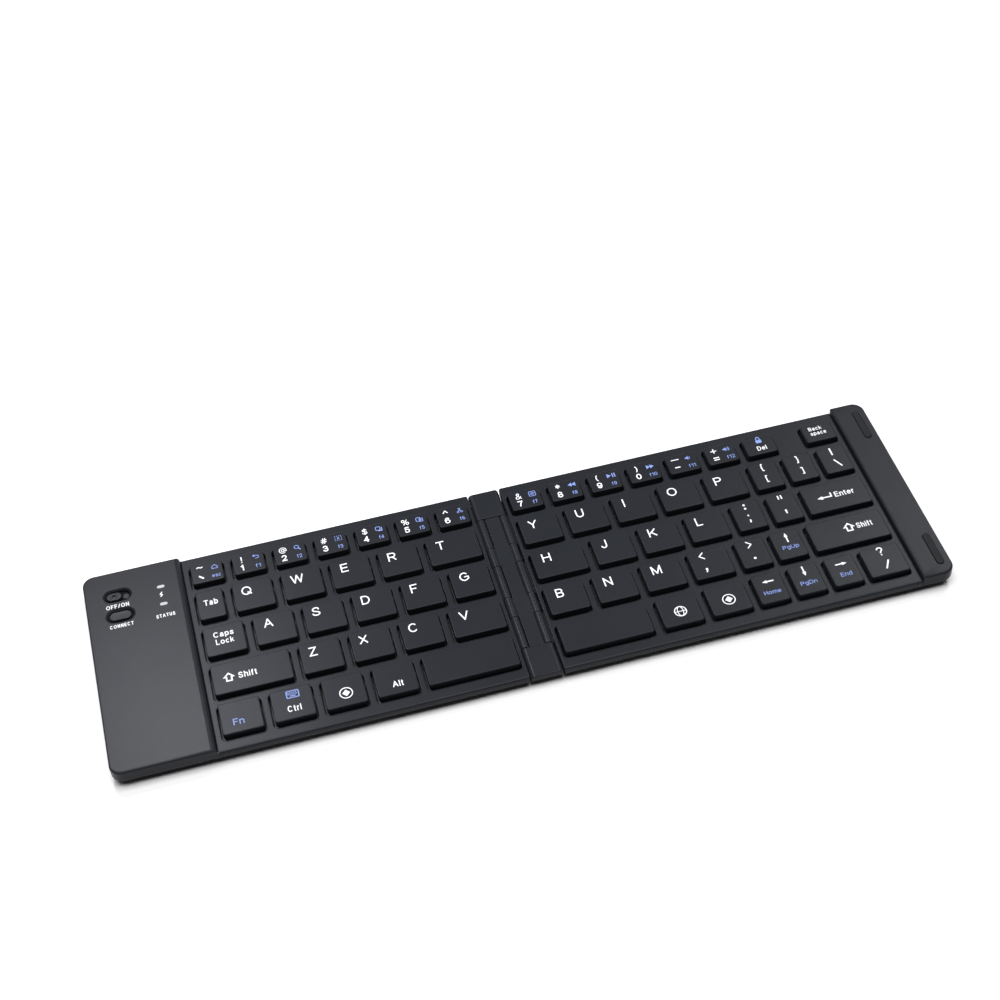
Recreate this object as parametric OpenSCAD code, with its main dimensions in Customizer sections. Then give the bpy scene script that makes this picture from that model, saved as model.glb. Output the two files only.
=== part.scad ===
// Folding keyboard in two halves, joined by a narrow bridge with two hinge lines.
// Millimetres. +X runs to the right of the typist, +Y to the back, +Z up.
// The origin is on the table under the middle of the open keyboard.

/* [Body] */
// Overall width of the open keyboard
open_w = 286; // [284:1:292]
// Depth from the front wall to the back wall
body_d = 84.6; // [84:0.1:90]
// Height of the flat plate between the keys above the table
plate_z = 5.6; // [5.5:0.05:5.8]
// Height of the rubber feet under the shells
foot_h = 0.6; // [0.5:0.05:0.7]
// Wall thickness of the shells
wall = 1.2; // [1.1:0.05:1.3]
// Radius of the four outer corners
corner_r = 4; // [3:0.1:4.4]
// Height of the control block and the end strip above the plate
block_rise = 2.05; // [1.9:0.01:2.08]
// Chamfer along the bottom edges
bottom_chamfer = 1.2; // [0.6:0.1:1.3]

/* [Control block and end strip] */
// Width of the control block at the left end
block_w = 34; // [33.5:0.1:34.5]
// Width of the raised strip at the right end
strip_w = 11; // [10:0.1:11.5]
// Length of the stadium opening of the switch and of the button
slot_l = 9; // [8.8:0.1:9.4]
// Width of those openings
slot_w = 5; // [4.8:0.1:5.2]
// Travel of the power knob
knob_travel = 2.8; // [2:0.1:2.8]

/* [Keys] */
// Letter key pitch
pitch = 17; // [17:0.01:17.01]
// Width of a letter key
unit_w = 13.6; // [13.2:0.1:13.7]
// Number key pitch
num_pitch = 14.56; // [14.5:0.01:14.6]
// Width of a number key
num_w = 11.1; // [10.8:0.1:11.2]
// Row pitch
row_pitch = 16.4; // [16.4:0.01:16.41]
// Depth of a key in the four lower rows
key_d = 12.6; // [12:0.1:12.8]
// Depth of a key in the number row
num_d = 8.8; // [8.4:0.1:9]
// Height of the key tops above the plate
key_rise = 2; // [1.9:0.05:2.05]
// Key travel
key_travel = 1.2; // [1:0.1:1.2]
// Height of a keycap from its rim to its top
cap_h = 2.8; // [2.6:0.1:2.8]
// Gap between a keycap and the edge of its opening
key_gap = 0.45; // [0.4:0.05:0.5]

/* [Hinge] */
// Distance between the two hinge lines
hinge_pitch = 8; // [8:0.05:8.2]
// Radius of the knuckles
knuckle_r = 1.5; // [1.4:0.05:1.5]
// Radius of the hinge pins
pin_r = 0.6; // [0.5:0.05:0.65]
// Radial clearance of a pin in the leaf knuckles
pin_gap = 0.05; // [0.03:0.01:0.08]
// Distance from a hinge line to the end wall of its half
hinge_edge = 1.8; // [1.8:0.05:1.9]

/* [Hidden] */

half_w = open_w / 2;
hd = body_d / 2;
ax = hinge_pitch / 2;            // hinge line, distance from the middle
az = plate_z - 1.7;              // hinge line, height above the table
edge = ax + hinge_edge;          // end wall of each half
base_z = foot_h;                 // underside of the shells
floor_z = base_z + 0.9;          // top of the shell floor
split_z = base_z + 2;            // joint between base shell and top parts
top_t = 1.2;                     // thickness of the top parts
block_z = plate_z + block_rise;
block_x = half_w - block_w;      // inner side of the control block
strip_x = half_w - strip_w;      // inner side of the end strip
sup_t = 0.4;                     // steel plate
mem_z = floor_z + sup_t;
mem_t = 0.25;
dome_z = mem_z + mem_t;
dome_t = 0.2;
link_z = dome_z + dome_t + 0.05;
key_top = plate_z + key_rise;
row0_y = -hd + 5;                // front edge of the lowest key row
left_x = -106.1;                 // left edge of the left key field
right_x = 7.8;                   // left edge of the right key field
plate_in_x = 10.7;               // hinge side of the steel plates
screw_y = hd - 2.9;
left_screw_x = [138.6, 101, 57, 14];
right_screw_x = [14, 57, 101, 137.6];
foot_x = [24, 122];
foot_y = 33.5;
foot_l = 14;
foot_w = 5;
sw_x = -131.7;                   // switch and button centre
sw_y = 31.5;
cn_y = 22.4;
lt_x = -116.9;                   // light windows
lt_y = [31, 23.1];
pads_x = 139.25;
pads_y = 31.3;
long_k = [[-29.6, -16], [-7.2, 7.2], [16, 29.6]];  // knuckles of the leaves
cap_y = 29.8;                    // inner end of the end caps
k_gap = 0.2;

// Key rows: row 0 is the front row. Each entry is [x, width, row].
function row_y(r) = row0_y + r * row_pitch;
function row_d(r) = r == 4 ? num_d : key_d;
K_num_left = [for (i = [0:6]) [left_x + i * num_pitch, num_w, 4]];
K_tab = [[left_x, 9.2, 3]];
K_qwert = concat([for (i = [0:3]) [left_x + 12.6 + i * pitch, unit_w, 3]], [[left_x + 80.6, 17.9, 3]]);
K_caps = [[left_x, unit_w, 2]];
K_asdfg = [for (i = [1:5]) [left_x + i * pitch, unit_w - (i == 5 ? 0.1 : 0), 2]];
K_shift_left = [[left_x, 26.3, 1]];
K_zxcv = concat([for (i = [0:2]) [left_x + 29.7 + i * pitch, unit_w, 1]], [[left_x + 80.7, 17.8, 1]]);
K_fn = [[left_x, unit_w, 0]];
K_ctrl = [for (i = [1:3]) [left_x + i * pitch, unit_w, 0]];
K_space_left = [[left_x + 67.8, 30.7, 0]];
K_num_right = [for (i = [0:5]) [right_x + i * 14.55, num_w, 4]];
K_delete = [[right_x + 87.3, num_w, 4]];
K_backspace = [[right_x + 109.6, 11.3, 4]];
K_yuiop = [for (i = [0:4]) [right_x + i * pitch - (i == 0 ? 0 : 0.1), unit_w, 3]];
K_brackets = [for (i = [0:2]) [right_x + 84.9 + i * 12.95, 10, 3]];
K_hjkl = concat([[right_x, 17.9, 2]], [for (i = [0:2]) [right_x + 21.4 + i * pitch, unit_w, 2]],
  [for (i = [0:1]) [right_x + 72.4 + i * 13.2, 10.1, 2]]);
K_enter = [[right_x + 98.3, 22.6, 2]];
K_bnm = concat([for (i = [0:3]) [right_x + i * pitch, unit_w, 1]], [[right_x + 68, 10.1, 1]]);
K_up = [[right_x + 80.8, 10.1, 1]];
K_shift_right = [[right_x + 94, 26.9, 1]];
K_space_right = [[right_x, 30.6, 0]];
K_globe = [for (i = [0:1]) [right_x + 34.3 + i * pitch, unit_w, 0]];
K_arrows = [for (i = [0:2]) [right_x + 68.1 + i * 13.05, 10.1, 0]];
K_slash = [[right_x + 107.1, 13.8, 0]];
LEFT_KEYS = concat(K_num_left, K_tab, K_qwert, K_caps, K_asdfg, K_shift_left, K_zxcv, K_fn, K_ctrl, K_space_left);
RIGHT_KEYS = concat(K_num_right, K_delete, K_backspace, K_yuiop, K_brackets, K_hjkl, K_enter, K_bnm, K_up,
  K_shift_right, K_space_right, K_globe, K_arrows, K_slash);

// ---- helper shapes ----
module box(x0, x1, y0, y1, z0, z1) translate([x0, y0, z0]) cube([x1 - x0, y1 - y0, z1 - z0]);
module rod(x, y, z0, z1, r) translate([x, y, z0]) cylinder(r = r, h = z1 - z0, $fn = 48);
// rectangle with round corners, lower left corner at x, y
module rrect(x, y, w, d, r) {
  translate([x + r, y]) square([w - 2 * r, d]);
  translate([x, y + r]) square([w, d - 2 * r]);
  for (i = [0, 1], j = [0, 1]) translate([i == 0 ? x + r : x + w - r, j == 0 ? y + r : y + d - r]) circle(r = r, $fn = 32);
}
// stadium along X, centred
module stadium(l, w) {
  square([l - w, w], center = true);
  for (s = [-1, 1]) translate([s * (l - w) / 2, 0]) circle(r = w / 2, $fn = 48);
}
module pill(x, y, z0, z1, l, w, turn = 0) translate([x, y, z0]) rotate([0, 0, turn]) linear_extrude(z1 - z0) stadium(l, w);
// block with a profile in YZ, run along X
module run_x(x0, x1) translate([x0, 0, 0]) rotate([90, 0, 90]) linear_extrude(x1 - x0) children();
// block with a profile in XZ, run along Y
module run_y(y0, y1) translate([0, y1, 0]) rotate([90, 0, 0]) linear_extrude(y1 - y0) children();
// outline of a half seen from above, on the right side, outer corners round
module half_outline(x0, r) {
  translate([x0, -hd]) square([half_w - r - x0, body_d]);
  translate([half_w - r - 1, -hd + r]) square([r + 1, body_d - 2 * r]);
  for (s = [-1, 1]) translate([half_w - r, s * (hd - r)]) circle(r = r, $fn = 48);
}
module side(s) mirror([s < 0 ? 1 : 0, 0, 0]) children();

// ---- shells ----
module base_shell(screws) {
  difference() {
    intersection() {
      translate([0, 0, base_z]) linear_extrude(split_z - base_z) half_outline(edge, corner_r);
      run_x(edge - 1, half_w + 1) polygon([[-hd + bottom_chamfer, base_z], [hd - bottom_chamfer, base_z],
        [hd, base_z + bottom_chamfer], [hd, split_z], [-hd, split_z], [-hd, base_z + bottom_chamfer]]);
      run_y(-hd - 1, hd + 1) polygon([[edge, base_z], [half_w - bottom_chamfer, base_z],
        [half_w, base_z + bottom_chamfer], [half_w, split_z], [edge, split_z]]);
    }
    // inside
    difference() {
      union() {
        box(edge + wall, half_w - corner_r, -hd + wall, hd - wall, floor_z, split_z + 1);
        box(half_w - corner_r - 1, half_w - wall, -hd + corner_r, hd - corner_r, floor_z, split_z + 1);
        for (s = [-1, 1]) rod(half_w - corner_r, s * (hd - corner_r), floor_z, split_z + 1, corner_r - wall);
      }
      for (x = screws, s = [-1, 1]) rod(x, s * screw_y, floor_z - 0.1, floor_z + 0.7, 1.9);
      for (y = [-22.8, 0, 22.8]) rod(8.8, y, floor_z - 0.1, floor_z + 0.8, 0.6);
    }
    // room for the risers of the hinge leaf
    for (k = long_k) box(edge + 0.55, edge + wall + 0.1, k[0] - 0.2, k[1] + 0.2, floor_z, split_z + 1);
    // screw holes with sunk heads
    for (x = screws, s = [-1, 1]) {
      rod(x, s * screw_y, base_z - 1, floor_z + 2, 0.85);
      rod(x, s * screw_y, base_z - 1, base_z + 0.7, 1.7);
    }
    // shallow pockets of the feet
    for (x = foot_x, s = [-1, 1]) pill(x, s * foot_y, base_z - 1, base_z + 0.3, foot_l + 0.1, foot_w + 0.1);
  }
}
module left_base_shell() color([0.12, 0.12, 0.13]) {
  side(-1) base_shell(left_screw_x);
  // posts of the control board
  for (p = [[-137, 14], [-114, 14], [-137, 35], [-114, 35]]) rod(p[0], p[1], floor_z - 0.2, floor_z + 0.9, 1.2);
}
module right_base_shell() color([0.12, 0.12, 0.13]) base_shell(right_screw_x);

module key_frame(keys, x1, screws) {
  difference() {
    union() {
      difference() {
        run_x(edge, x1) polygon([[-hd, split_z], [hd, split_z], [hd, plate_z - 0.4], [hd - 0.4, plate_z],
          [-hd + 0.4, plate_z], [-hd, plate_z - 0.4]]);
        box(edge + wall, x1 + 1, -hd + wall, hd - wall, split_z - 1, plate_z - top_t);
      }
      for (x = screws, s = [-1, 1]) rod(x, s * screw_y, floor_z + 0.7, plate_z - top_t + 0.1, 1.4);
    }
    // key openings
    for (k = keys) box(k[0] - key_gap, k[0] + k[1] + key_gap, row_y(k[2]) - key_gap,
      row_y(k[2]) + row_d(k[2]) + key_gap, plate_z - top_t - 1, plate_z + 1);
    // slots for the webs of the hinge leaf
    for (k = long_k) box(edge - 1, edge + wall + 0.1, k[0] - 0.2, k[1] + 0.2, split_z - 1, az + 0.5);
    for (x = screws, s = [-1, 1]) rod(x, s * screw_y, floor_z, floor_z + 2.9, 0.78);
  }
}
function flipped(keys) = [for (k = keys) [-k[0] - k[1], k[1], k[2]]];
module left_key_frame() color([0.13, 0.13, 0.14]) side(-1) key_frame(flipped(LEFT_KEYS), block_x - 0.15, [14, 57, 101]);
module right_key_frame() color([0.13, 0.13, 0.14]) key_frame(RIGHT_KEYS, strip_x - 0.15, [14, 57, 101]);

// hollow raised cover at the outer end, on the right side
module end_cover(x0, zt, screw_x) {
  difference() {
    union() {
      difference() {
        intersection() {
          translate([0, 0, split_z]) linear_extrude(zt - split_z) half_outline(x0, corner_r);
          run_x(x0 - 1, half_w + 1) polygon([[-hd, split_z], [hd, split_z], [hd, zt - 0.5], [hd - 0.5, zt],
            [-hd + 0.5, zt], [-hd, zt - 0.5]]);
          run_y(-hd - 1, hd + 1) polygon([[x0, split_z], [half_w, split_z], [half_w, zt - 0.5], [half_w - 0.5, zt],
            [x0 + 0.9, zt], [x0, zt - 0.9]]);
        }
        box(x0 + wall, half_w - corner_r, -hd + wall, hd - wall, split_z - 1, zt - top_t);
        box(half_w - corner_r - 1, half_w - wall, -hd + corner_r, hd - corner_r, split_z - 1, zt - top_t);
        for (s = [-1, 1]) rod(half_w - corner_r, s * (hd - corner_r), split_z - 1, zt - top_t, corner_r - wall);
      }
      for (s = [-1, 1]) rod(screw_x, s * screw_y, floor_z + 0.7, zt - top_t + 0.1, 1.4);
    }
    for (s = [-1, 1]) rod(screw_x, s * screw_y, floor_z, floor_z + 2.9, 0.78);
  }
}
module block_cover() color([0.2, 0.2, 0.21]) {
  difference() {
    side(-1) end_cover(block_x, block_z, 138.6);
    pill(sw_x, sw_y, block_z - 3, block_z + 1, slot_l, slot_w);
    pill(sw_x, cn_y, block_z - 3, block_z + 1, slot_l, slot_w);
    for (y = lt_y) pill(lt_x, y, block_z - 3, block_z + 1, 3.04, 1.54);
    box(-half_w - 1, -half_w + 3, 14.6, 22.8, 2.9, 6.2);
  }
}
module end_strip() color([0.16, 0.16, 0.17]) {
  difference() {
    end_cover(strip_x, block_z, 137.6);
    for (s = [-1, 1]) pill(pads_x, s * pads_y, block_z - 0.4, block_z + 1, 14.2, 2.6, 90);
  }
}
module closing_pads() color([0.05, 0.05, 0.05])
  for (s = [-1, 1]) pill(pads_x, s * pads_y, block_z - 0.4, block_z + 0.4, 14.1, 2.5, 90);

// ---- feet and screws ----
module feet() for (x = foot_x, s = [-1, 1]) pill(x, s * foot_y, 0, base_z + 0.3, foot_l, foot_w);
module left_feet() color([0.05, 0.05, 0.05]) side(-1) feet();
module right_feet() color([0.05, 0.05, 0.05]) feet();
module screws(xs) for (x = xs, s = [-1, 1]) difference() {
  union() {
    rod(x, s * screw_y, base_z + 0.1, base_z + 0.7, 1.5);
    rod(x, s * screw_y, base_z + 0.6, floor_z + 2.6, 0.75);
  }
  // cross drive
  for (a = [0, 90]) translate([x, s * screw_y, base_z + 0.2]) rotate([0, 0, a]) cube([1.7, 0.35, 0.5], center = true);
}
module left_screws() color([0.55, 0.55, 0.57]) side(-1) screws(left_screw_x);
module right_screws() color([0.55, 0.55, 0.57]) screws(right_screw_x);

// ---- hinge ----
module hinge_leaf() {
  difference() {
    union() {
      box(edge + wall, edge + wall + 3.4, -29.6, 29.6, floor_z, floor_z + 0.6);
      for (k = long_k) {
        box(edge + 0.6, edge + wall + 0.1, k[0], k[1], floor_z, az + 0.4);
        box(ax, edge + 0.7, k[0], k[1], az - 0.8, az + 0.4);
        run_y(k[0], k[1]) translate([ax, az]) circle(r = knuckle_r, $fn = 48);
      }
    }
    run_y(-31, 31) translate([ax, az]) circle(r = pin_r + pin_gap, $fn = 48);
    for (y = [-22.8, 0, 22.8]) rod(8.8, y, 0, 3, 0.68);
  }
}
module left_hinge_leaf() color([0.15, 0.15, 0.16]) side(-1) hinge_leaf();
module right_hinge_leaf() color([0.15, 0.15, 0.16]) hinge_leaf();
module pin(s) run_y(-38, 38) translate([s * ax, az]) circle(r = pin_r, $fn = 48);
module left_hinge_pin() color([0.6, 0.6, 0.62]) pin(-1);
module right_hinge_pin() color([0.6, 0.6, 0.62]) pin(1);

// cross section of the bridge: flat underside, upper corners round about the hinge lines
module bridge_profile(top) {
  translate([-ax - knuckle_r, base_z + 0.3]) square([2 * (ax + knuckle_r), az - base_z - 0.3]);
  for (s = [-1, 1]) translate([s * ax, az]) circle(r = knuckle_r, $fn = 48);
  translate([-ax, az - 0.1]) square([2 * ax, top - az + 0.1]);
}
module hinge_bridge() color([0.14, 0.14, 0.15]) {
  difference() {
    run_y(-cap_y, cap_y) bridge_profile(az + 0.9);
    // pockets for the leaf knuckles, open to the top and to the side
    for (k = long_k, s = [-1, 1]) run_y(k[0] - k_gap, k[1] + k_gap) {
      translate([s * ax, az]) circle(r = knuckle_r + 0.3, $fn = 48);
      translate([s > 0 ? ax : -ax - 2.5, az - 1.15]) square([2.5, 4]);
    }
    // channel for the ribbon under the cover
    box(-1.3, 1.3, -cap_y + 1.2, cap_y - 1.2, base_z + 1.3, az + 2);
    for (s = [-1, 1]) run_y(-cap_y - 1, cap_y + 1) translate([s * ax, az]) circle(r = pin_r + 0.02, $fn = 48);
    // side windows of the ribbon
    for (s = [-1, 1]) box(s > 0 ? 1 : -6, s > 0 ? 6 : -1, -4.2, 4.2, base_z + 0.75, base_z + 1.15);
    box(-1.3, 1.3, -4.2, 4.2, base_z + 0.75, base_z + 2);
  }
}
module bridge_cover() color([0.13, 0.13, 0.14]) box(-2.5, 2.5, -cap_y + 0.05, cap_y - 0.05, az + 0.9, az + 1.3);
module end_cap() {
  difference() {
    run_y(-hd, -cap_y) bridge_profile(az + knuckle_r);
    for (s = [-1, 1]) run_y(-38.2, -cap_y + 1) translate([s * ax, az]) circle(r = pin_r + 0.02, $fn = 48);
  }
}
module front_end_cap() color([0.15, 0.15, 0.16]) end_cap();
module rear_end_cap() color([0.15, 0.15, 0.16]) mirror([0, 1, 0]) end_cap();
module ribbon_cable() color([0.55, 0.35, 0.1]) box(-5.2, 5.2, -4, 4, base_z + 0.85, base_z + 1.05);

// ---- layers under the keys ----
module left_support_plate() color([0.6, 0.6, 0.62]) side(-1) box(plate_in_x, block_x - 1.2, -hd + 5, hd - 5, floor_z, mem_z);
module right_support_plate() color([0.6, 0.6, 0.62]) box(plate_in_x, strip_x - 1.5, -hd + 5, hd - 5, floor_z, mem_z);
module left_membrane() color([0.75, 0.78, 0.72]) {
  side(-1) box(plate_in_x, block_x - 1.2, -hd + 5, hd - 5, mem_z, dome_z);
  box(-115, -block_x + 1, 17, 27, mem_z, dome_z);
}
module right_membrane() color([0.75, 0.78, 0.72]) box(plate_in_x, strip_x - 1.5, -hd + 5, hd - 5, mem_z, dome_z);
function kx(k) = k[0] + k[1] / 2;
function ky(k) = row_y(k[2]) + row_d(k[2]) / 2;
module domes(keys) for (k = keys) translate([kx(k), ky(k), dome_z + dome_t - 0.05])
  rotate_extrude($fn = 32) polygon([[0, 0], [2.2, 0], [1.4, 1.7], [1.3, 2.5], [0, 2.5]]);
module left_dome_sheet() color([0.85, 0.86, 0.88]) {
  side(-1) box(plate_in_x, block_x - 1.2, -hd + 5, hd - 5, dome_z, dome_z + dome_t);
  domes(LEFT_KEYS);
}
module right_dome_sheet() color([0.85, 0.86, 0.88]) {
  box(plate_in_x, strip_x - 1.5, -hd + 5, hd - 5, dome_z, dome_z + dome_t);
  domes(RIGHT_KEYS);
}
// scissor links, folded flat: an outer and an inner frame around the rubber dome
// of a key, or one pair of frames on each side of the dome under a wide key
module links(keys) for (k = keys) {
  wide = k[1] > 20;
  w = wide ? 8 : min(k[1], unit_w) - 1.2;
  d = row_d(k[2]) - (k[2] == 4 ? 1 : 3);
  for (s = wide ? [-1, 1] : [0]) translate([kx(k) + s * (k[1] / 2 - 0.6 - w / 2), ky(k), link_z + 0.35]) {
    difference() { cube([w, d, 0.7], center = true); cube([w - 1.4, d - 1.4, 2], center = true); }
    difference() { cube([w - 1.8, d - 1.8, 0.7], center = true); cube([w - 3.2, d - 3.2, 2], center = true); }
    // pivots between the outer and the inner link
    for (t = [-1, 1]) translate([t * (w / 2 - 0.8), 0, 0]) cube([0.6, 0.6, 0.4], center = true);
  }
}
module left_scissor_links() color([0.8, 0.8, 0.78]) links(LEFT_KEYS);
module right_scissor_links() color([0.8, 0.8, 0.78]) links(RIGHT_KEYS);

// ---- control block contents ----
board_z = floor_z + 0.9;
board_top = board_z + 0.8;
module control_board() color([0.1, 0.35, 0.16]) {
  box(-138.9, -112, 12, 37, board_z, board_top);
  box(-126, -120, 24, 30, board_top, board_top + 0.9);
  box(-124, -120, 16, 19, board_top, board_top + 0.8);
  box(-115, -112.4, 14.5, 27, board_top, board_top + 1);
  for (y = lt_y) box(lt_x - 0.8, lt_x + 0.8, y - 0.4, y + 0.4, board_top, board_top + 0.5);
}
module battery() color([0.7, 0.7, 0.72]) {
  box(-139, -113, -34, 4, floor_z, floor_z + 4);
  for (x = [-128, -125.4]) translate([x, 3.9, board_top + 0.45]) rotate([-90, 0, 0]) cylinder(r = 0.45, h = 10, $fn = 24);
}
module power_switch() color([0.3, 0.3, 0.32]) difference() {
  box(sw_x - 4.3, sw_x + 4.3, sw_y - 1.9, sw_y + 1.9, board_top, board_top + 1.3);
  box(sw_x - 2.5, sw_x + 2.5, sw_y - 0.9, sw_y + 0.9, board_top + 0.5, board_top + 2);
}
module connect_switch() color([0.3, 0.3, 0.32]) {
  box(sw_x - 2.1, sw_x + 2.1, cn_y - 2.1, cn_y + 2.1, board_top, board_top + 1.6);
  rod(sw_x, cn_y, board_top + 1.6, board_top + 2, 0.9);
}
module power_knob() color([0.2, 0.2, 0.21]) translate([sw_x - knob_travel / 2, sw_y, 0]) {
  pill(0, 0, block_z - 1.75, block_z - 1.35, 12.4, 6.2);
  difference() {
    pill(0, 0, block_z - 1.45, block_z - 0.15, 5.4, 3.6);
    for (x = [-0.9, 0, 0.9]) box(x - 0.15, x + 0.15, -3, 3, block_z - 0.4, block_z + 1);
  }
  box(-0.5, 0.5, -0.5, 0.5, board_top + 0.8, block_z - 1.6);
}
module connect_button() color([0.2, 0.2, 0.21]) {
  pill(sw_x, cn_y, block_z - 1.75, block_z - 1.35, 10.2, 6.2);
  pill(sw_x, cn_y, block_z - 1.45, block_z - 0.3, 7.6, 3.6);
}
module light_windows() color([0.92, 0.93, 0.95]) for (y = lt_y) pill(lt_x, y, board_top + 0.7, block_z, 3, 1.5);
module charging_port() color([0.7, 0.7, 0.72]) {
  difference() {
    box(-half_w + 0.2, -half_w + 5.6, 14.9, 22.5, board_top, board_top + 2.7);
    box(-half_w - 1, -half_w + 4.9, 15.25, 22.15, board_top + 0.4, board_top + 2.3);
  }
  box(-half_w + 1, -half_w + 5, 16.5, 20.9, board_top + 1.2, board_top + 1.7);
}

// ---- keys ----
module keycap(k) {
  x = k[0]; y = row_y(k[2]); w = k[1]; d = row_d(k[2]);
  difference() {
    translate([0, 0, key_top - cap_h]) linear_extrude(cap_h) rrect(x, y, w, d, 0.9);
    box(x + 0.9, x + w - 0.9, y + 0.9, y + d - 0.9, key_top - cap_h - 1, key_top - 1);
  }
}
module caps(keys) color([0.16, 0.16, 0.17]) for (k = keys) keycap(k);

left_base_shell();
left_key_frame();
block_cover();
left_hinge_leaf();
left_support_plate();
left_membrane();
left_dome_sheet();
left_scissor_links();
control_board();
battery();
power_switch();
connect_switch();
light_windows();
charging_port();
left_feet();
left_screws();
power_knob();
connect_button();
hinge_bridge();
bridge_cover();
front_end_cap();
rear_end_cap();
left_hinge_pin();
right_hinge_pin();
ribbon_cable();
right_base_shell();
right_key_frame();
end_strip();
right_hinge_leaf();
right_support_plate();
right_membrane();
right_dome_sheet();
right_scissor_links();
closing_pads();
right_feet();
right_screws();
caps(K_num_left);  // keys_numbers_left
caps(K_tab);  // key_tab
caps(K_qwert);  // keys_qwert
caps(K_caps);  // key_caps_lock
caps(K_asdfg);  // keys_asdfg
caps(K_shift_left);  // key_shift_left
caps(K_zxcv);  // keys_zxcv
caps(K_fn);  // key_fn
caps(K_ctrl);  // keys_ctrl_super_alt
caps(K_space_left);  // key_space_left
caps(K_num_right);  // keys_numbers_right
caps(K_delete);  // key_delete
caps(K_backspace);  // key_backspace
caps(K_yuiop);  // keys_yuiop
caps(K_brackets);  // keys_brackets
caps(K_hjkl);  // keys_hjkl_quote
caps(K_enter);  // key_enter
caps(K_bnm);  // keys_bnm_stop
caps(K_up);  // key_arrow_up
caps(K_shift_right);  // key_shift_right
caps(K_space_right);  // key_space_right
caps(K_globe);  // keys_globe_menu
caps(K_arrows);  // keys_arrows_side
caps(K_slash);  // key_slash
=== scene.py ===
# Looks of the folding keyboard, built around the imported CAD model.
# Blender works in metres; the lengths below are millimetres and are scaled when a mesh is made.
import math

import bmesh
import bpy
from mathutils import Matrix, Vector
from mathutils.geometry import tessellate_polygon


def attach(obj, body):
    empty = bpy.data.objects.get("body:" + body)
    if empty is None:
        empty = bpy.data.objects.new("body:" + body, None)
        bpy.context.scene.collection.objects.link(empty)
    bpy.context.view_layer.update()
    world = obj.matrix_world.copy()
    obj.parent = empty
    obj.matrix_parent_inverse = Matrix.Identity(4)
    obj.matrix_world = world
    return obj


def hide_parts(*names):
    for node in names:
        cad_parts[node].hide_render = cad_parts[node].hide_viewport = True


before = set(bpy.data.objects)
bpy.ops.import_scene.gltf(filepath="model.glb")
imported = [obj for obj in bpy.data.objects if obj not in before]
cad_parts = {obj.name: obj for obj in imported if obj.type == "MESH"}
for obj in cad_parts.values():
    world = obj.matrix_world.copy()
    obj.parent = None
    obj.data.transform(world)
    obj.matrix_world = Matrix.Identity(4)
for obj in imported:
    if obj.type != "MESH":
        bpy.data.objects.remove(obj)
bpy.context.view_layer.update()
MM = 0.001
cos, sin, rad = math.cos, math.sin, math.radians

# ---------------------------------------------------------------- layout, as in the CAD
HW, HD = 143.0, 42.3
BASE_Z, FLOOR_Z, SPLIT_Z, PLATE_Z = 0.6, 1.5, 2.6, 5.6
BLOCK_Z, KEY_TOP, KEY_BOTTOM = 7.65, 7.6, 4.8
EDGE, BLOCK_X, STRIP_X = 5.8, 109.0, 132.0
AX, AZ = 4.0, 3.9
LX, RX = -106.1, 7.8
ROW0, ROWP = -37.3, 16.4
SCREW_Y = 39.4
FOOT_X, FOOT_Y = (24, 122), 33.5
SW_X, SW_Y, CN_Y, LT_X, LT_Y = -131.7, 31.5, 22.4, -116.9, (31.0, 23.1)
PAD_X, PAD_Y = 139.25, 31.3
LONG_K = ((-29.6, -16.0), (-7.2, 7.2), (16.0, 29.6))


def row_y(r):
    return ROW0 + ROWP * r


def row_d(r):
    return 8.8 if r == 4 else 12.6


KEYS = {
    "keys_numbers_left": [(LX + 14.56 * i, 11.1, 4) for i in range(7)],
    "key_tab": [(LX, 9.2, 3)],
    "keys_qwert": [(LX + 12.6 + 17 * i, 13.6, 3) for i in range(4)] + [(LX + 80.6, 17.9, 3)],
    "key_caps_lock": [(LX, 13.6, 2)],
    "keys_asdfg": [(LX + 17 * i, 13.6 - (0.1 if i == 5 else 0), 2) for i in range(1, 6)],
    "key_shift_left": [(LX, 26.3, 1)],
    "keys_zxcv": [(LX + 29.7 + 17 * i, 13.6, 1) for i in range(3)] + [(LX + 80.7, 17.8, 1)],
    "key_fn": [(LX, 13.6, 0)],
    "keys_ctrl_super_alt": [(LX + 17 * i, 13.6, 0) for i in range(1, 4)],
    "key_space_left": [(LX + 67.8, 30.7, 0)],
    "keys_numbers_right": [(RX + 14.55 * i, 11.1, 4) for i in range(6)],
    "key_delete": [(RX + 87.3, 11.1, 4)],
    "key_backspace": [(RX + 109.6, 11.3, 4)],
    "keys_yuiop": [(RX + 17 * i - (0.1 if i else 0), 13.6, 3) for i in range(5)],
    "keys_brackets": [(RX + 84.9 + 12.95 * i, 10, 3) for i in range(3)],
    "keys_hjkl_quote": [(RX, 17.9, 2)] + [(RX + 21.4 + 17 * i, 13.6, 2) for i in range(3)]
    + [(RX + 72.4 + 13.2 * i, 10.1, 2) for i in range(2)],
    "key_enter": [(RX + 98.3, 22.6, 2)],
    "keys_bnm_stop": [(RX + 17 * i, 13.6, 1) for i in range(4)] + [(RX + 68, 10.1, 1)],
    "key_arrow_up": [(RX + 80.8, 10.1, 1)],
    "key_shift_right": [(RX + 94, 26.9, 1)],
    "key_space_right": [(RX, 30.6, 0)],
    "keys_globe_menu": [(RX + 34.3 + 17 * i, 13.6, 0) for i in range(2)],
    "keys_arrows_side": [(RX + 68.1 + 13.05 * i, 10.1, 0) for i in range(3)],
    "key_slash": [(RX + 107.1, 13.8, 0)],
}
LEFT = [k for n in KEYS for k in KEYS[n] if k[0] < 0]
RIGHT = [k for n in KEYS for k in KEYS[n] if k[0] > 0]


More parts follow.
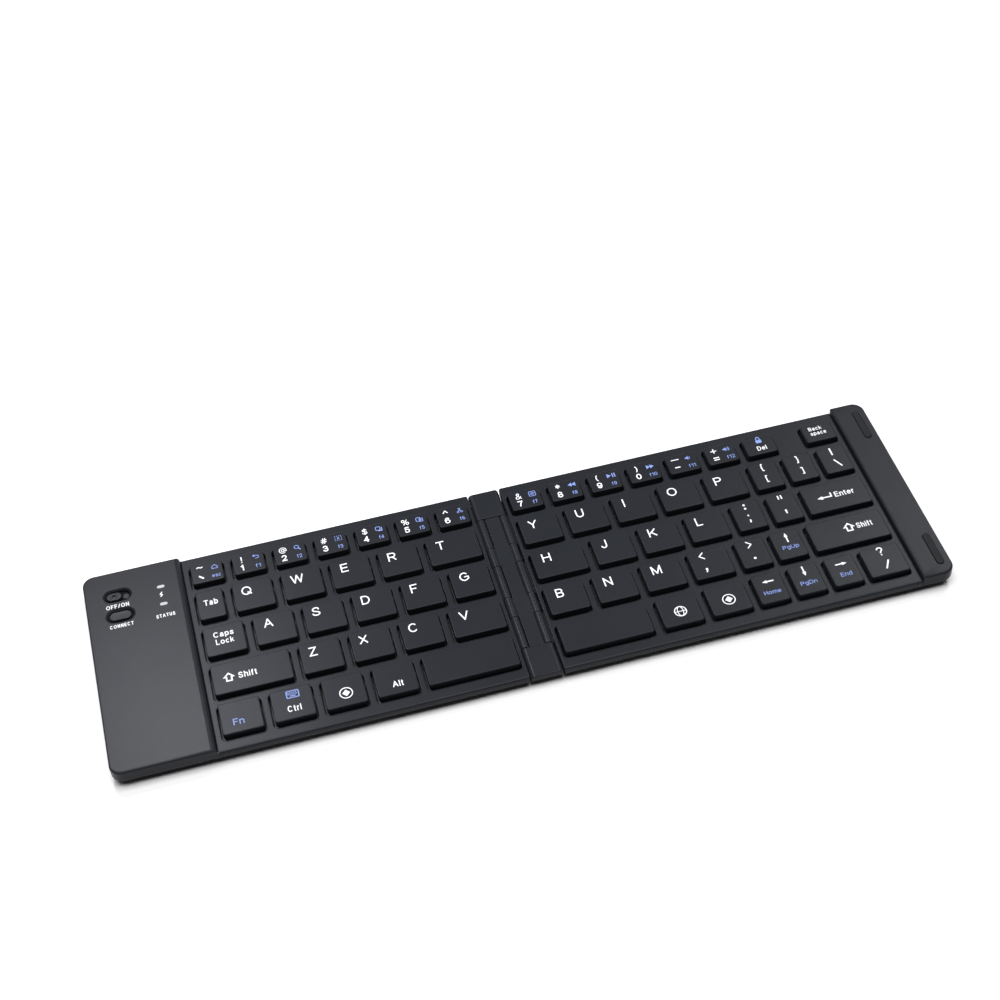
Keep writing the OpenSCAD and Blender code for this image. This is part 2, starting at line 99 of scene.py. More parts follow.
# ---------------------------------------------------------------- mesh tools
class Solid:
    """Vertices in millimetres and faces of one piece."""

    def __init__(self):
        self.v, self.f, self.layer = [], [], 0

    def add(self, verts, faces):
        o = len(self.v)
        self.v += [tuple(p) for p in verts]
        self.f += [tuple(i + o for i in f) for f in faces]

    def loft(self, loops, close=(True, True)):
        n = len(loops[0])
        verts = [p for loop in loops for p in loop]
        faces = []
        for i in range(len(loops) - 1):
            a, b = i * n, (i + 1) * n
            for j in range(n):
                k = (j + 1) % n
                faces.append((a + j, a + k, b + k, b + j))
        if close[0]:
            faces.append(tuple(range(n - 1, -1, -1)))
        if close[1]:
            o = (len(loops) - 1) * n
            faces.append(tuple(range(o, o + n)))
        self.add(verts, faces)

    def sheet(self, outer, holes=()):
        """A flat face with holes, all loops at their own z."""
        loops = [[Vector(p) for p in loop] for loop in [outer] + list(holes)]
        flat = [p for loop in loops for p in loop]
        self.add(flat, tessellate_polygon(loops))

    def mirror_x(self):
        self.v = [(-x, y, z) for x, y, z in self.v]
        return self


def weld(me, recalc=True):
    bm = bmesh.new()
    bm.from_mesh(me)
    bmesh.ops.remove_doubles(bm, verts=bm.verts, dist=2e-7)
    if recalc:
        bmesh.ops.recalc_face_normals(bm, faces=bm.faces)
    bm.to_mesh(me)
    bm.free()


def to_mesh(solid, name):
    me = bpy.data.meshes.new(name)
    me.from_pydata([(x * MM, y * MM, z * MM) for x, y, z in solid.v], [], solid.f)
    me.update()
    weld(me)
    return me


def cut(me, cutters, operation="DIFFERENCE"):
    """The mesh with the cutter solids taken away."""
    a = bpy.data.objects.new("cut_a", me)
    b = bpy.data.objects.new("cut_b", to_mesh(cutters, "cut_b"))
    for o in (a, b):
        bpy.context.scene.collection.objects.link(o)
    mod = a.modifiers.new("cut", "BOOLEAN")
    mod.operation, mod.solver, mod.object = operation, "EXACT", b
    dg = bpy.context.evaluated_depsgraph_get()
    out = bpy.data.meshes.new_from_object(a.evaluated_get(dg))
    tool = b.data
    for o in (a, b):
        bpy.data.objects.remove(o)
    bpy.data.meshes.remove(tool)
    weld(out, recalc=False)
    return out


def piece(name, shape, body, material, replaces=(), angle=38, weighted=True):
    me = to_mesh(shape, name) if isinstance(shape, Solid) else shape
    me.name = name
    ob = bpy.data.objects.new(name, me)
    bpy.context.scene.collection.objects.link(ob)
    me.materials.clear()
    me.materials.append(material)
    for p in me.polygons:
        p.use_smooth = True
        p.material_index = 0
    me.set_sharp_from_angle(angle=rad(angle))
    if weighted:
        m = ob.modifiers.new("normals", "WEIGHTED_NORMAL")
        m.keep_sharp, m.weight = True, 90
    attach(ob, body)
    if replaces:
        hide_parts(*replaces)
    return ob


def ring(x0, x1, y0, y1, r, n=6, ins=0.0, z=0.0):
    """Rectangle with round corners as one loop, counterclockwise. r goes round from the corner (x1, y0).
    ins and z may be four numbers, for the sides x0, x1, y0, y1; they run into each other in the corners."""
    r = (r,) * 4 if isinstance(r, (int, float)) else r
    ins = (ins,) * 4 if isinstance(ins, (int, float)) else ins
    z = (z,) * 4 if isinstance(z, (int, float)) else z
    out = []
    for (sx, sy, a0, s0, s1), rr in zip(
        ((1, -1, -90, 2, 1), (1, 1, 0, 1, 3), (-1, 1, 90, 3, 0), (-1, -1, 180, 0, 2)), r
    ):
        ix, iy = ins[1 if sx > 0 else 0], ins[3 if sy > 0 else 2]
        rx, ry = max(rr - ix, 0.03), max(rr - iy, 0.03)
        cx = x1 - ix - rx if sx > 0 else x0 + ix + rx
        cy = y1 - iy - ry if sy > 0 else y0 + iy + ry
        for k in range(n + 1):
            a, t = rad(a0 + 90 * k / n), k / n
            out.append((cx + rx * cos(a), cy + ry * sin(a), z[s0] * (1 - t) + z[s1] * t))
    return out


# lower edge of the outer walls: a slope from the wall, SLOPE_Z high, down to the underside, SLOPE_IN further in
SLOPE_IN, SLOPE_Z = 1.8, 3.25


def slope(z0, z1):
    """Pairs (inset, z) down the lower edge of the outer walls, going up from z0 to z1."""
    a, b = Vector((SLOPE_IN, BASE_Z)), Vector((0.0, SLOPE_Z))
    d = (b - a).normalized()
    pts = []
    for p, q, r in ((Vector((SLOPE_IN + 0.45, BASE_Z)), a, a + d * 0.45), (b - d * 0.5, b, Vector((0.0, SLOPE_Z + 0.5)))):
        for k in range(6):
            t = k / 5
            pts.append(p * (1 - t) ** 2 + q * 2 * t * (1 - t) + r * t * t)

    def inset(z):
        for u, v in zip(pts, pts[1:]):
            if u.y <= z <= v.y and v.y > u.y:
                return u.x + (v.x - u.x) * (z - u.y) / (v.y - u.y)
        return 0.0 if z > SLOPE_Z else pts[0].x

    mid = [(v.x, v.y) for v in pts if z0 + 0.02 < v.y < z1 - 0.02]
    return ([(pts[0].x, pts[0].y)] if z0 <= BASE_Z else [(inset(z0), z0)]) + mid + [(inset(z1), z1)]


def circle(cx, cy, r, z=0.0, n=32):
    return [(cx + r * cos(2 * math.pi * k / n), cy + r * sin(2 * math.pi * k / n), z) for k in range(n)]


def stadium(cx, cy, length, width, grow=0.0, z=0.0, n=14, turn=False):
    r, h = width / 2 + grow, (length - width) / 2
    out = []
    for s, a0 in ((1, -90), (-1, 90)):
        for k in range(n + 1):
            a = rad(a0 + 180 * k / n)
            x, y = s * h + r * cos(a), r * sin(a)
            out.append((cx - y, cy + x, z) if turn else (cx + x, cy + y, z))
    return out


def fillet(r, n=4, flip=False):
    """Pairs (inset, drop) round a quarter circle, from the wall to the flat. flip runs the other way."""
    out = [(r * (1 - cos(rad(90 * k / n))), r * (1 - sin(rad(90 * k / n)))) for k in range(n + 1)]
    return out[::-1] if flip else out


def offset(points, d):
    """Closed counterclockwise outline moved inwards by d."""
    n, out = len(points), []
    for i in range(n):
        p, a, b = Vector(points[i]), Vector(points[i - 1]), Vector(points[(i + 1) % n])
        e0, e1 = (p - a).normalized(), (b - p).normalized()
        n0, n1 = Vector((-e0.y, e0.x)), Vector((-e1.y, e1.x))
        m = n0 + n1
        m = m / max(m.dot(n0), 0.3) if m.length > 1e-6 else n0
        out.append(tuple(p + m * d))
    return out


def run_y(solid, profile, y0, y1, bevel=0.12, n=2, hole=None):
    """A profile in X and Z, counterclockwise, swept along Y with small round edges at its ends.
    hole is the (x, z, radius) of a bore along it."""
    first = [(x, y0, z) for x, z in offset(profile, bevel + 0.08)]
    last = [(x, y1, z) for x, z in offset(profile, bevel + 0.08)]
    loops = [[(x, y0 + drop, z) for x, z in offset(profile, inset)] for inset, drop in fillet(bevel, n, flip=True)]
    loops += [[(x, y1 - drop, z) for x, z in offset(profile, inset)] for inset, drop in fillet(bevel, n)]
    if hole is None:
        solid.loft([first] + loops + [last])
        return
    solid.loft([first] + loops + [last], close=(False, False))
    bore = [[(x, y, z) for x, z, _ in circle(*hole, n=24)] for y in (y0, y1)]
    solid.sheet(first, [bore[0]])
    solid.sheet(last, [bore[1]])
    solid.loft(bore, close=(False, False))


# ---------------------------------------------------------------- materials
def nodes_of(name):
    m = bpy.data.materials.new(name)
    m.use_nodes = True
    nt = m.node_tree
    return m, nt, nt.nodes["Principled BSDF"]


def noise(nt, scale, detail=2.0, rough=0.5, stretch=None):
    tc = nt.nodes.new("ShaderNodeTexCoord")
    src = tc.outputs["Object"]
    if stretch:
        mp = nt.nodes.new("ShaderNodeMapping")
        mp.inputs["Scale"].default_value = stretch
        nt.links.new(src, mp.inputs["Vector"])
        src = mp.outputs["Vector"]
    t = nt.nodes.new("ShaderNodeTexNoise")
    t.inputs["Scale"].default_value = scale
    t.inputs["Detail"].default_value = detail
    t.inputs["Roughness"].default_value = rough
    nt.links.new(src, t.inputs["Vector"])
    return t.outputs["Fac"]


def ramp(nt, fac, stops):
    c = nt.nodes.new("ShaderNodeValToRGB")
    while len(c.color_ramp.elements) < len(stops):
        c.color_ramp.elements.new(0.5)
    for e, (p, col) in zip(c.color_ramp.elements, stops):
        e.position = p
        e.color = (*col, 1) if len(col) == 3 else col
    nt.links.new(fac, c.inputs["Fac"])
    return c.outputs["Color"]


def spread(nt, fac, lo, hi, a=0.3, b=0.7):
    m = nt.nodes.new("ShaderNodeMapRange")
    m.inputs["From Min"].default_value, m.inputs["From Max"].default_value = a, b
    m.inputs["To Min"].default_value, m.inputs["To Max"].default_value = lo, hi
    nt.links.new(fac, m.inputs["Value"])
    return m.outputs["Result"]


def mixed(nt, a, b, fac, mode="MULTIPLY"):
    m = nt.nodes.new("ShaderNodeMix")
    m.data_type, m.blend_type = "RGBA", mode
    m.inputs["Factor"].default_value = fac
    nt.links.new(a, m.inputs["A"])
    nt.links.new(b, m.inputs["B"])
    return m.outputs["Result"]


def bumped(nt, bs, fac, height, strength=1.0):
    b = nt.nodes.new("ShaderNodeBump")
    b.inputs["Distance"].default_value = height
    b.inputs["Strength"].default_value = strength
    nt.links.new(fac, b.inputs["Height"])
    nt.links.new(b.outputs["Normal"], bs.inputs["Normal"])


def tint(c, k):
    return tuple(min(1.0, x * k) for x in c)


def plastic(name, color, rough=0.5, grain=0.28, depth=0.012, vary=0.07, spec=0.5, coat=0.0):
    """Moulded plastic with a spark-eroded surface: grain is its size and depth its height, in mm."""
    m, nt, bs = nodes_of(name)
    fine = noise(nt, 1.0 / (grain * MM), 3.0, 0.6)
    broad = noise(nt, 1.0 / (22 * MM), 2.0, 0.5)
    a = ramp(nt, broad, [(0.3, tint(color, 1 - vary)), (0.7, tint(color, 1 + vary))])
    g = ramp(nt, fine, [(0.3, (0.90, 0.90, 0.90)), (0.7, (1.0, 1.0, 1.0))])
    nt.links.new(mixed(nt, a, g, 1.0), bs.inputs["Base Color"])
    nt.links.new(spread(nt, fine, rough - 0.05, rough + 0.07), bs.inputs["Roughness"])
    bumped(nt, bs, fine, depth * MM, 0.6)
    bs.inputs["Specular IOR Level"].default_value = spec
    if coat:
        bs.inputs["Coat Weight"].default_value = coat
        bs.inputs["Coat Roughness"].default_value = 0.25
    return m


def metal(name, color, rough=0.3, stretch=(1, 12, 1), grain=0.3):
    m, nt, bs = nodes_of(name)
    f = noise(nt, 1.0 / (grain * MM), 3.0, 0.6, stretch)
    c = ramp(nt, f, [(0.25, tint(color, 0.86)), (0.75, tint(color, 1.06))])
    nt.links.new(c, bs.inputs["Base Color"])
    nt.links.new(spread(nt, f, rough - 0.06, rough + 0.1), bs.inputs["Roughness"])
    bumped(nt, bs, f, 0.004 * MM, 0.5)
    bs.inputs["Metallic"].default_value = 1.0
    return m


def ink(name, color):
    m, nt, bs = nodes_of(name)
    bs.inputs["Base Color"].default_value = (*color, 1)
    bs.inputs["Roughness"].default_value = 0.55
    bs.inputs["Specular IOR Level"].default_value = 0.35
    return m


BLACK = (0.0160, 0.0177, 0.0216)
M_plate = plastic("plate_plastic", BLACK, 0.33, spec=0.10)
M_shell = plastic("shell_plastic", (0.0125, 0.0135, 0.0160), 0.40, grain=0.35, spec=0.06)
M_block = plastic("block_plastic", (0.0180, 0.0192, 0.0225), 0.33, spec=0.11)
M_strip = plastic("strip_plastic", (0.0150, 0.0166, 0.0202), 0.33, spec=0.092)
M_key = plastic("key_plastic", BLACK, 0.33, grain=0.2, depth=0.008, vary=0.05, spec=0.10)
M_spine = plastic("spine_plastic", BLACK, 0.33, grain=0.3, spec=0.10)
M_knob = plastic("knob_plastic", (0.0135, 0.0145, 0.0165), 0.38, grain=0.22, spec=0.17)
# near-black flange plastic: painted shade, much darker than the knob so the slots round the grip and the button read as
# deep shade
M_flange_painted_shade = plastic("flange_painted_shade_plastic", (0.004, 0.004, 0.0045), 0.6, grain=0.3, spec=0.05)
M_rubber = plastic("rubber", (0.0092, 0.0095, 0.0108), 0.72, grain=0.25, depth=0.02, spec=0.25)
M_window = plastic("window_plastic", (0.41, 0.42, 0.435), 0.38, grain=0.6, depth=0.004, vary=0.04, spec=0.3)
M_steel = metal("steel", (0.55, 0.56, 0.58), 0.34)
M_pin = metal("pin_steel", (0.60, 0.61, 0.63), 0.22, stretch=(1, 1, 1))
M_screw = metal("screw_steel", (0.30, 0.30, 0.32), 0.38, stretch=(1, 1, 1))
M_socket = metal("socket_steel", (0.62, 0.62, 0.63), 0.25)
M_white = ink("ink_white", (0.84, 0.85, 0.87))
M_blue = ink("ink_blue", (0.20, 0.28, 0.62))


def board_material():
    m, nt, bs = nodes_of("circuit_board")
    tc = nt.nodes.new("ShaderNodeTexCoord")
    v = nt.nodes.new("ShaderNodeTexVoronoi")
    v.inputs["Scale"].default_value = 420
    nt.links.new(tc.outputs["Object"], v.inputs["Vector"])
    c = ramp(nt, v.outputs["Distance"], [(0.05, (0.55, 0.42, 0.18)), (0.09, (0.01, 0.085, 0.035)), (0.6, (0.012, 0.11, 0.045))])
    nt.links.new(c, bs.inputs["Base Color"])
    nt.links.new(spread(nt, noise(nt, 900), 0.3, 0.45), bs.inputs["Roughness"])
    return m


M_board = board_material()
M_cell = plastic("cell_wrap", (0.45, 0.46, 0.47), 0.3, grain=1.2, depth=0.03, vary=0.05)
M_film = plastic("film", (0.10, 0.11, 0.10), 0.35, grain=1.5, depth=0.004)
# dome sheet kept dark grey rather than the whitish silicone of real domes: painted shade, so the gaps round the keycaps
# stay black
M_dome_painted_shade = plastic("silicone", (0.045, 0.046, 0.048), 0.5, grain=0.4)
M_link = plastic("link_plastic", (0.02, 0.02, 0.021), 0.45, grain=0.3)
M_switch = plastic("switch_plastic", (0.03, 0.03, 0.032), 0.4, grain=0.3)
M_flex = plastic("flex_film", (0.30, 0.14, 0.03), 0.35, grain=0.8, depth=0.004, vary=0.1)

CAD_FINISH = {
    "left_support_plate": M_steel, "right_support_plate": M_steel,
    "left_membrane": M_film, "right_membrane": M_film,
    # the dark dome sheet is painted shade in the gaps between the keys
    "left_dome_sheet": M_dome_painted_shade, "right_dome_sheet": M_dome_painted_shade,
    "left_scissor_links": M_link, "right_scissor_links": M_link,
    "control_board": M_board, "battery": M_cell,
    "power_switch": M_switch, "connect_switch": M_switch,
    "left_hinge_pin": M_pin, "right_hinge_pin": M_pin, "ribbon_cable": M_flex,
}
for node, mat in CAD_FINISH.items():
    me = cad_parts[node].data
    me.materials.clear()
    me.materials.append(mat)


# ---------------------------------------------------------------- keycaps
def keycap(s, x, y, w, d):
    def L(i, z):
        return ring(x, x + w, y, y + d, 0.9, 6, i, z)

    loops = [L(1.2, 6.6), L(1.02, 6.6), L(0.94, 6.56), L(0.9, 6.45), L(0.9, 4.86), L(0.84, 4.8),
             L(0.1, 4.8), L(0.03, 4.83), L(0.0, 4.9)]
    loops += [L(i, KEY_TOP - dz) for i, dz in fillet(0.34, 5)]
    loops += [L(0.44, KEY_TOP)]
    s.loft(loops)


for node, keys in KEYS.items():
    s = Solid()
    for x, w, r in keys:
        keycap(s, x, row_y(r), w, row_d(r))
    piece("cap_" + node, s, node, M_key, [node])


# ---------------------------------------------------------------- key plates
GAP_L, GAP_R, GAP_F = 0.62, 0.45, 0.68    # room round a keycap, on its left, right and front side


def key_plate(name, node, body, x0, x1, keys, hinge_side):
    s = Solid()
    # corner radii from (x1, y0): the two corners at the spine are a little round
    r = (0.08, 0.08, 0.8, 0.8) if hinge_side < 0 else (0.8, 0.8, 0.08, 0.08)

    def L(i, z, k=None):
        k = i if k is None else k
        return ring(x0, x1, -HD, HD, r, 5, (i, i, k, k), z)

    low = slope(SPLIT_Z, SLOPE_Z + 0.6)
    outer = [L(0.14, SPLIT_Z, low[0][0] + 0.12), L(0.04, SPLIT_Z + 0.04, low[0][0] + 0.02)]
    outer += [L(0.0, z, i) for i, z in low[1:]]
    # the long edges are rounder than the short ones
    for (i, dz), (k, dk) in zip(fillet(0.4, 6), fillet(0.75, 6)):
        outer.append(ring(x0, x1, -HD, HD, r, 5, (i, i, k, k * 0.7), (PLATE_Z - dz, PLATE_Z - dz, PLATE_Z - dk, PLATE_Z - dk * 0.7)))
    outer += [L(0.5, PLATE_Z, 0.85)]
    inner_r = 0.3

    def I(z):
        return ring(x0 + 1.2, x1 - 1.2, -HD + 1.2, HD - 1.2, inner_r, 5, 0, z)

    s.loft([I(PLATE_Z - 1.2), I(SPLIT_Z)] + outer, close=(False, False))
    tops, bottoms = [], []
    for x, w, row in keys:
        y, d = row_y(row), row_d(row)

        def H(g, z):
            return ring(x - GAP_L, x + w + GAP_R, y - GAP_F, y + d + 0.45, 1.35, 6, -g, z)

        loops = [H(0.34, PLATE_Z)] + [H(0.26 * (1 - sin(rad(a))), PLATE_Z - 0.26 * (1 - cos(rad(a)))) for a in (0, 22, 45, 67, 90)]
        loops += [H(0.0, PLATE_Z - 1.2)]
        s.loft(loops, close=(False, False))
        tops.append(loops[0])
        bottoms.append(loops[-1])
    s.sheet(outer[-1], tops)
    s.sheet(I(PLATE_Z - 1.2), bottoms)
    me = to_mesh(s, name)
    # notches in the wall at the spine for the webs of the hinge leaf
    c = Solid()
    for a, b in LONG_K:
        xs = (EDGE - 1, EDGE + 1.3) if hinge_side < 0 else (-EDGE - 1.3, -EDGE + 1)
        c.loft([[(p[0], p[1], z) for p in ring(xs[0], xs[1], a - 0.2, b + 0.2, 0.05, 1)] for z in (1.6, PLATE_Z - 1.2)])
    me = cut(me, c)
    piece(name, me, body, M_plate, [node])


key_plate("left_key_plate", "left_key_frame", "left_half", -BLOCK_X + 0.15, -EDGE, LEFT, 1)
STRIP_LEFT = STRIP_X - 0.6
key_plate("right_key_plate", "right_key_frame", "right_half", EDGE, STRIP_LEFT - 0.15, RIGHT, -1)


# ---------------------------------------------------------------- bottom shells
def bottom_shell(name, node, body, sign, screws):
    s = Solid()

    def L(t, z):
        """t is the inset of the three outer sides; the side at the spine has a smaller one."""
        return ring(EDGE, HW, -HD, HD, (4, 4, 0.8, 0.8), 12, (min(t, 0.35), t, t, t), z)

    low = slope(BASE_Z, SPLIT_Z)
    outer = [L(SLOPE_IN + 0.6, BASE_Z)] + [L(i, z) for i, z in low[:-1]]
    outer += [L(low[-1][0] + 0.02, SPLIT_Z - 0.04), L(low[-1][0] + 0.12, SPLIT_Z)]

    def I(z, i=1.2):
        return ring(EDGE + 1.2, HW - i, -HD + i, HD - i, (2.8, 2.8, 0.3, 0.3), 12, 0, z)

    s.loft(outer + [I(SPLIT_Z), I(FLOOR_Z, 1.9)], close=(False, False))
    below = []
    for x in FOOT_X:
        for y in (-FOOT_Y, FOOT_Y):
            p = [stadium(x, y, 14.1, 5.1, g, z) for g, z in
                 ((0.25, BASE_Z), (0.15, BASE_Z), (0.04, BASE_Z + 0.04), (0, BASE_Z + 0.12), (0, BASE_Z + 0.3))]
            s.loft(p, close=(False, True))
            below.append(p[0])
    s.sheet(outer[0], below)
    s.sheet(I(FLOOR_Z, 1.9))
    # sunk holes of the screws; they touch the slope
    c = Solid()
    for x in screws:
        for y in (-SCREW_Y, SCREW_Y):
            c.loft([circle(x, y, r, z) for r, z in
                    ((1.75, BASE_Z - 0.3), (1.45, BASE_Z), (1.38, BASE_Z + 0.1), (1.38, BASE_Z + 0.7), (0.85, BASE_Z + 0.7), (0.85, FLOOR_Z + 0.4))])
    if sign < 0:
        s.mirror_x()
        c.mirror_x()
    piece(name, cut(to_mesh(s, name), c), body, M_shell, [node])


bottom_shell("left_bottom_shell", "left_base_shell", "left_half", -1, (138.6, 101, 57, 14))
bottom_shell("right_bottom_shell", "right_base_shell", "right_half", 1, (14, 57, 101, 137.6))


# ---------------------------------------------------------------- control block and end strip
def end_cover(x0, ri, through, pockets):
    """Raised cover on the right side, with an edge of radius ri towards the keys.
    through and pockets are lists of functions (grow, z) -> loop."""
    s = Solid()
    zt = BLOCK_Z
    rs = (ri, 0.55, 0.85, 0.4)      # edge radii of the sides x0, x1, y0, y1
    cr = (4, 4, 0.15, 0.15)

    def L(a):
        """a runs from 0, where the walls end, to 90 degrees, where the top begins."""
        return ring(x0, HW, -HD, HD, cr, 10, tuple(q * (1 - cos(rad(a))) for q in rs), tuple(zt - q * (1 - sin(rad(a))) for q in rs))

    def W(i, z, k=None):
        k = i if k is None else k
        return ring(x0, HW, -HD, HD, cr, 10, (i, k, k, k), z)

    low = slope(SPLIT_Z, SLOPE_Z + 0.6)
    outer = [W(0.14, SPLIT_Z, low[0][0] + 0.12), W(0.04, SPLIT_Z + 0.04, low[0][0] + 0.02)]
    outer += [W(0.0, z, i) for i, z in low[1:]]
    outer += [L(a) for a in (0, 11.25, 22.5, 33.75, 45, 56.25, 67.5, 78.75, 90)]
    outer += [ring(x0, HW, -HD, HD, cr, 10, tuple(q + 0.12 for q in rs), zt)]

    def I(z):
        return ring(x0 + 1.2, HW - 1.2, -HD + 1.2, HD - 1.2, (2.8, 2.8, 0.3, 0.3), 10, 0, z)

    s.loft([I(zt - 1.2), I(SPLIT_Z)] + outer, close=(False, False))
    tops, bottoms = [], []
    for f, r in through:
        # a slope with a short round edge at its top
        loops = [f(r + 0.12, zt), f(r + 0.02, zt), f(r - 0.04, zt - 0.02), f(r - 0.09, zt - 0.07), f(0.06, zt - r * 0.95), f(0.0, zt - r * 1.05)]
        loops += [f(0.0, zt - 1.2)]
        s.loft(loops, close=(False, False))
        tops.append(loops[0])
        bottoms.append(loops[-1])
    for f, r in pockets:
        loops = [f(r + 0.1, zt), f(r, zt), f(r * 0.3, zt - r * 0.3), f(0.0, zt - r), f(0.0, zt - 0.4)]
        s.loft(loops, close=(False, True))
        tops.append(loops[0])
    s.sheet(outer[-1], tops)
    s.sheet(I(zt - 1.2), bottoms)
    return s


def roll(x0, r, side):
    """Cutter that rounds the edge of a raised cover towards the keys over its whole length."""
    c = Solid()
    prof = [(x0 - 1, BLOCK_Z + 1), (x0 - 1, BLOCK_Z - r)]
    prof += [(x0 + r + (r + 0.01) * cos(rad(a)), BLOCK_Z - r + (r + 0.01) * sin(rad(a))) for a in range(180, 89, -6)]
    prof += [(x0 + r, BLOCK_Z + 1)]
    c.loft([[(side * x, y, z) for x, z in prof] for y in (-HD - 1, HD + 1)])
    return c


def at(cx, cy, l, w, turn=False):
    return lambda g, z: stadium(cx, cy, l, w, g, z, turn=turn)


s = end_cover(
    BLOCK_X, 0.12,
    [(at(-SW_X + 0.1, SW_Y - 0.05, 8.8, 4.75), 0.6), (at(-SW_X + 0.05, CN_Y - 0.05, 8.9, 5.1), 0.65)]
    + [(at(-LT_X, y, 2.8, 1.42), 0.1) for y in LT_Y],
    [],
).mirror_x()
me = to_mesh(s, "control_block")
c = roll(BLOCK_X, 2.05, -1)
prof = ring(14.6, 22.8, 2.9, 6.2, 0.9, 6)
c.loft([[(x, p[0], p[1]) for p in prof] for x in (-HW - 1, -HW + 3)])
control_block = piece("control_block", cut(me, c), "left_half", M_block, ["block_cover"])
# small ribs that close the seam between block and plate at its two ends
s = Solid()
for y in (-HD + 0.5, HD - 0.5):
    s.loft([[(-BLOCK_X + x, y + v, z) for x, v in ((-0.35, -0.38), (0.4, -0.38), (0.4, 0.38), (-0.35, 0.38))]
            for z in (SPLIT_Z + 0.15, 5.5)])
piece("block_seam_ribs", s, "left_half", M_knob, weighted=False)
piece(
    "end_strip_cover",
    cut(to_mesh(end_cover(STRIP_LEFT, 0.12, [], [(at(PAD_X, s_ * PAD_Y, 14.2, 2.6, True), 0.12) for s_ in (-1, 1)]), "strip"),
        roll(STRIP_LEFT, 0.9, 1)),
    "right_half", M_strip, ["end_strip"],
)

# closing pads
s = Solid()
for y in (-PAD_Y, PAD_Y):
    f = at(PAD_X, y, 14.1, 2.5, True)
    s.loft([f(-0.1, BLOCK_Z - 0.4), f(0, BLOCK_Z - 0.3)] + [f(-i, BLOCK_Z + 0.4 - dz) for i, dz in fillet(0.3, 4)]
           + [f(-0.4, BLOCK_Z + 0.4)])
piece("rubber_pads", s, "right_half", M_rubber, ["closing_pads"])

# light windows
s = Solid()
for y in LT_Y:
    f = at(LT_X, y, 2.72, 1.34)
    s.loft([f(-0.08, 3.95), f(0, 4.05)] + [f(-i, BLOCK_Z - 0.06 - dz) for i, dz in fillet(0.14, 3)] + [f(-0.22, BLOCK_Z - 0.06)])
piece("light_pipes", s, "left_half", M_window, ["light_windows"])

# power knob: a slide with a flange under the cover, and a grip with a dimple and cross grooves
kx = SW_X - 1.4
s = Solid()
f = at(kx + 0.1, SW_Y - 0.15, 5.4, 3.4)
s.loft([f(0.1, 6.1), f(0, 6.3)] + [f(-i, 7.5 - dz) for i, dz in fillet(0.35, 5)] + [f(-0.5, 7.5)])
c = Solid()
for dx in (-1.0, 1.25):
    prof = [(kx + dx - 0.26, 7.7), (kx + dx - 0.13, 7.2), (kx + dx + 0.13, 7.2), (kx + dx + 0.26, 7.7)]
    c.loft([[(x, y, z) for x, z in prof] for y in (SW_Y - 3, SW_Y + 3)])
c.loft([circle(kx + 0.1, SW_Y - 0.15, r, z, 24) for r, z in ((0.3, 6.95), (0.5, 7.0), (0.62, 7.2), (0.72, 7.7))])
grip = cut(to_mesh(s, "grip"), c)
s = Solid()
f = at(kx, SW_Y, 12.4, 6.2)
s.loft([f(-0.1, 5.9), f(0, 6.0), f(0, 6.2), f(-0.1, 6.3), f(-2.0, 6.3)])
s.loft([[(p[0], p[1], z) for p in ring(kx - 0.5, kx + 0.5, SW_Y - 0.5, SW_Y + 0.5, 0.15, 3)] for z in (4.0, 6.0)])
# the flange under the cover is near black: painted shade in the slot round the grip
piece("power_slide_base", s, "power_knob", M_flange_painted_shade, ["power_knob"])
s = Solid()
# a flat boss beside the grip, low enough to pass under the cover
s.loft([circle(kx + 4.1, SW_Y - 0.1, r, z, 28) for r, z in ((1.2, 6.2), (1.15, 6.34), (1.07, 6.4), (0.9, 6.42))])
base = to_mesh(s, "base")
bm = bmesh.new()
bm.from_mesh(grip)
bm.from_mesh(base)
bm.to_mesh(grip)
bm.free()
piece("power_slide", grip, "power_knob", M_knob, ["power_knob"])

# connect button
s = Solid()
f = at(SW_X, CN_Y, 10.2, 6.2)
s.loft([f(-0.1, 5.9), f(0, 6.0), f(0, 6.2), f(-0.1, 6.3), f(-2.0, 6.3)])
# the flange under the cover is near black: painted shade in the ring round the button
piece("push_button_base", s, "connect_button", M_flange_painted_shade, ["connect_button"])
s = Solid()
f = at(SW_X - 0.12, CN_Y + 0.1, 7.55, 3.55)
s.loft([f(0.25, 6.28), f(0.08, 6.36), f(0, 6.5)] + [f(-i, 7.38 - dz) for i, dz in fillet(0.22, 4)] + [f(-0.35, 7.38), f(-1.2, 7.34)])
piece("push_button", s, "connect_button", M_knob, ["connect_button"])

# charging socket: rolled shell with a tongue
s = Solid()

def tube(g, x):
    return [(x, p[0], p[1]) for p in ring(14.9, 22.5, 3.2, 5.9, 0.95, 6, g)]


s.loft([tube(0.0, -HW + 5.6), tube(0.0, -HW + 0.26), tube(0.06, -HW + 0.2), tube(0.3, -HW + 0.2), tube(0.36, -HW + 0.3),
        tube(0.36, -HW + 4.9)])
s.loft([[(x, p[0], p[1]) for p in ring(16.4, 21.0, 4.35, 4.95, 0.12, 3, g)] for x, g in
        ((-HW + 5.0, 0), (-HW + 1.1, 0), (-HW + 1.0, 0.1))])
piece("socket_shell", s, "left_half", M_socket, ["charging_port"])

# ---------------------------------------------------------------- feet and screws
for sign, body, node in ((-1, "left_half", "left_feet"), (1, "right_half", "right_feet")):
    s = Solid()
    for x in FOOT_X:
        for y in (-FOOT_Y, FOOT_Y):
            f = at(sign * x, y, 14, 5)
            s.loft([f(-0.45, 0.0)] + [f(-i, dz) for i, dz in fillet(0.3, 4, flip=True)] + [f(0, BASE_Z + 0.2), f(-0.1, BASE_Z + 0.3)])
    piece(node + "_rubber", s, body, M_rubber, [node])


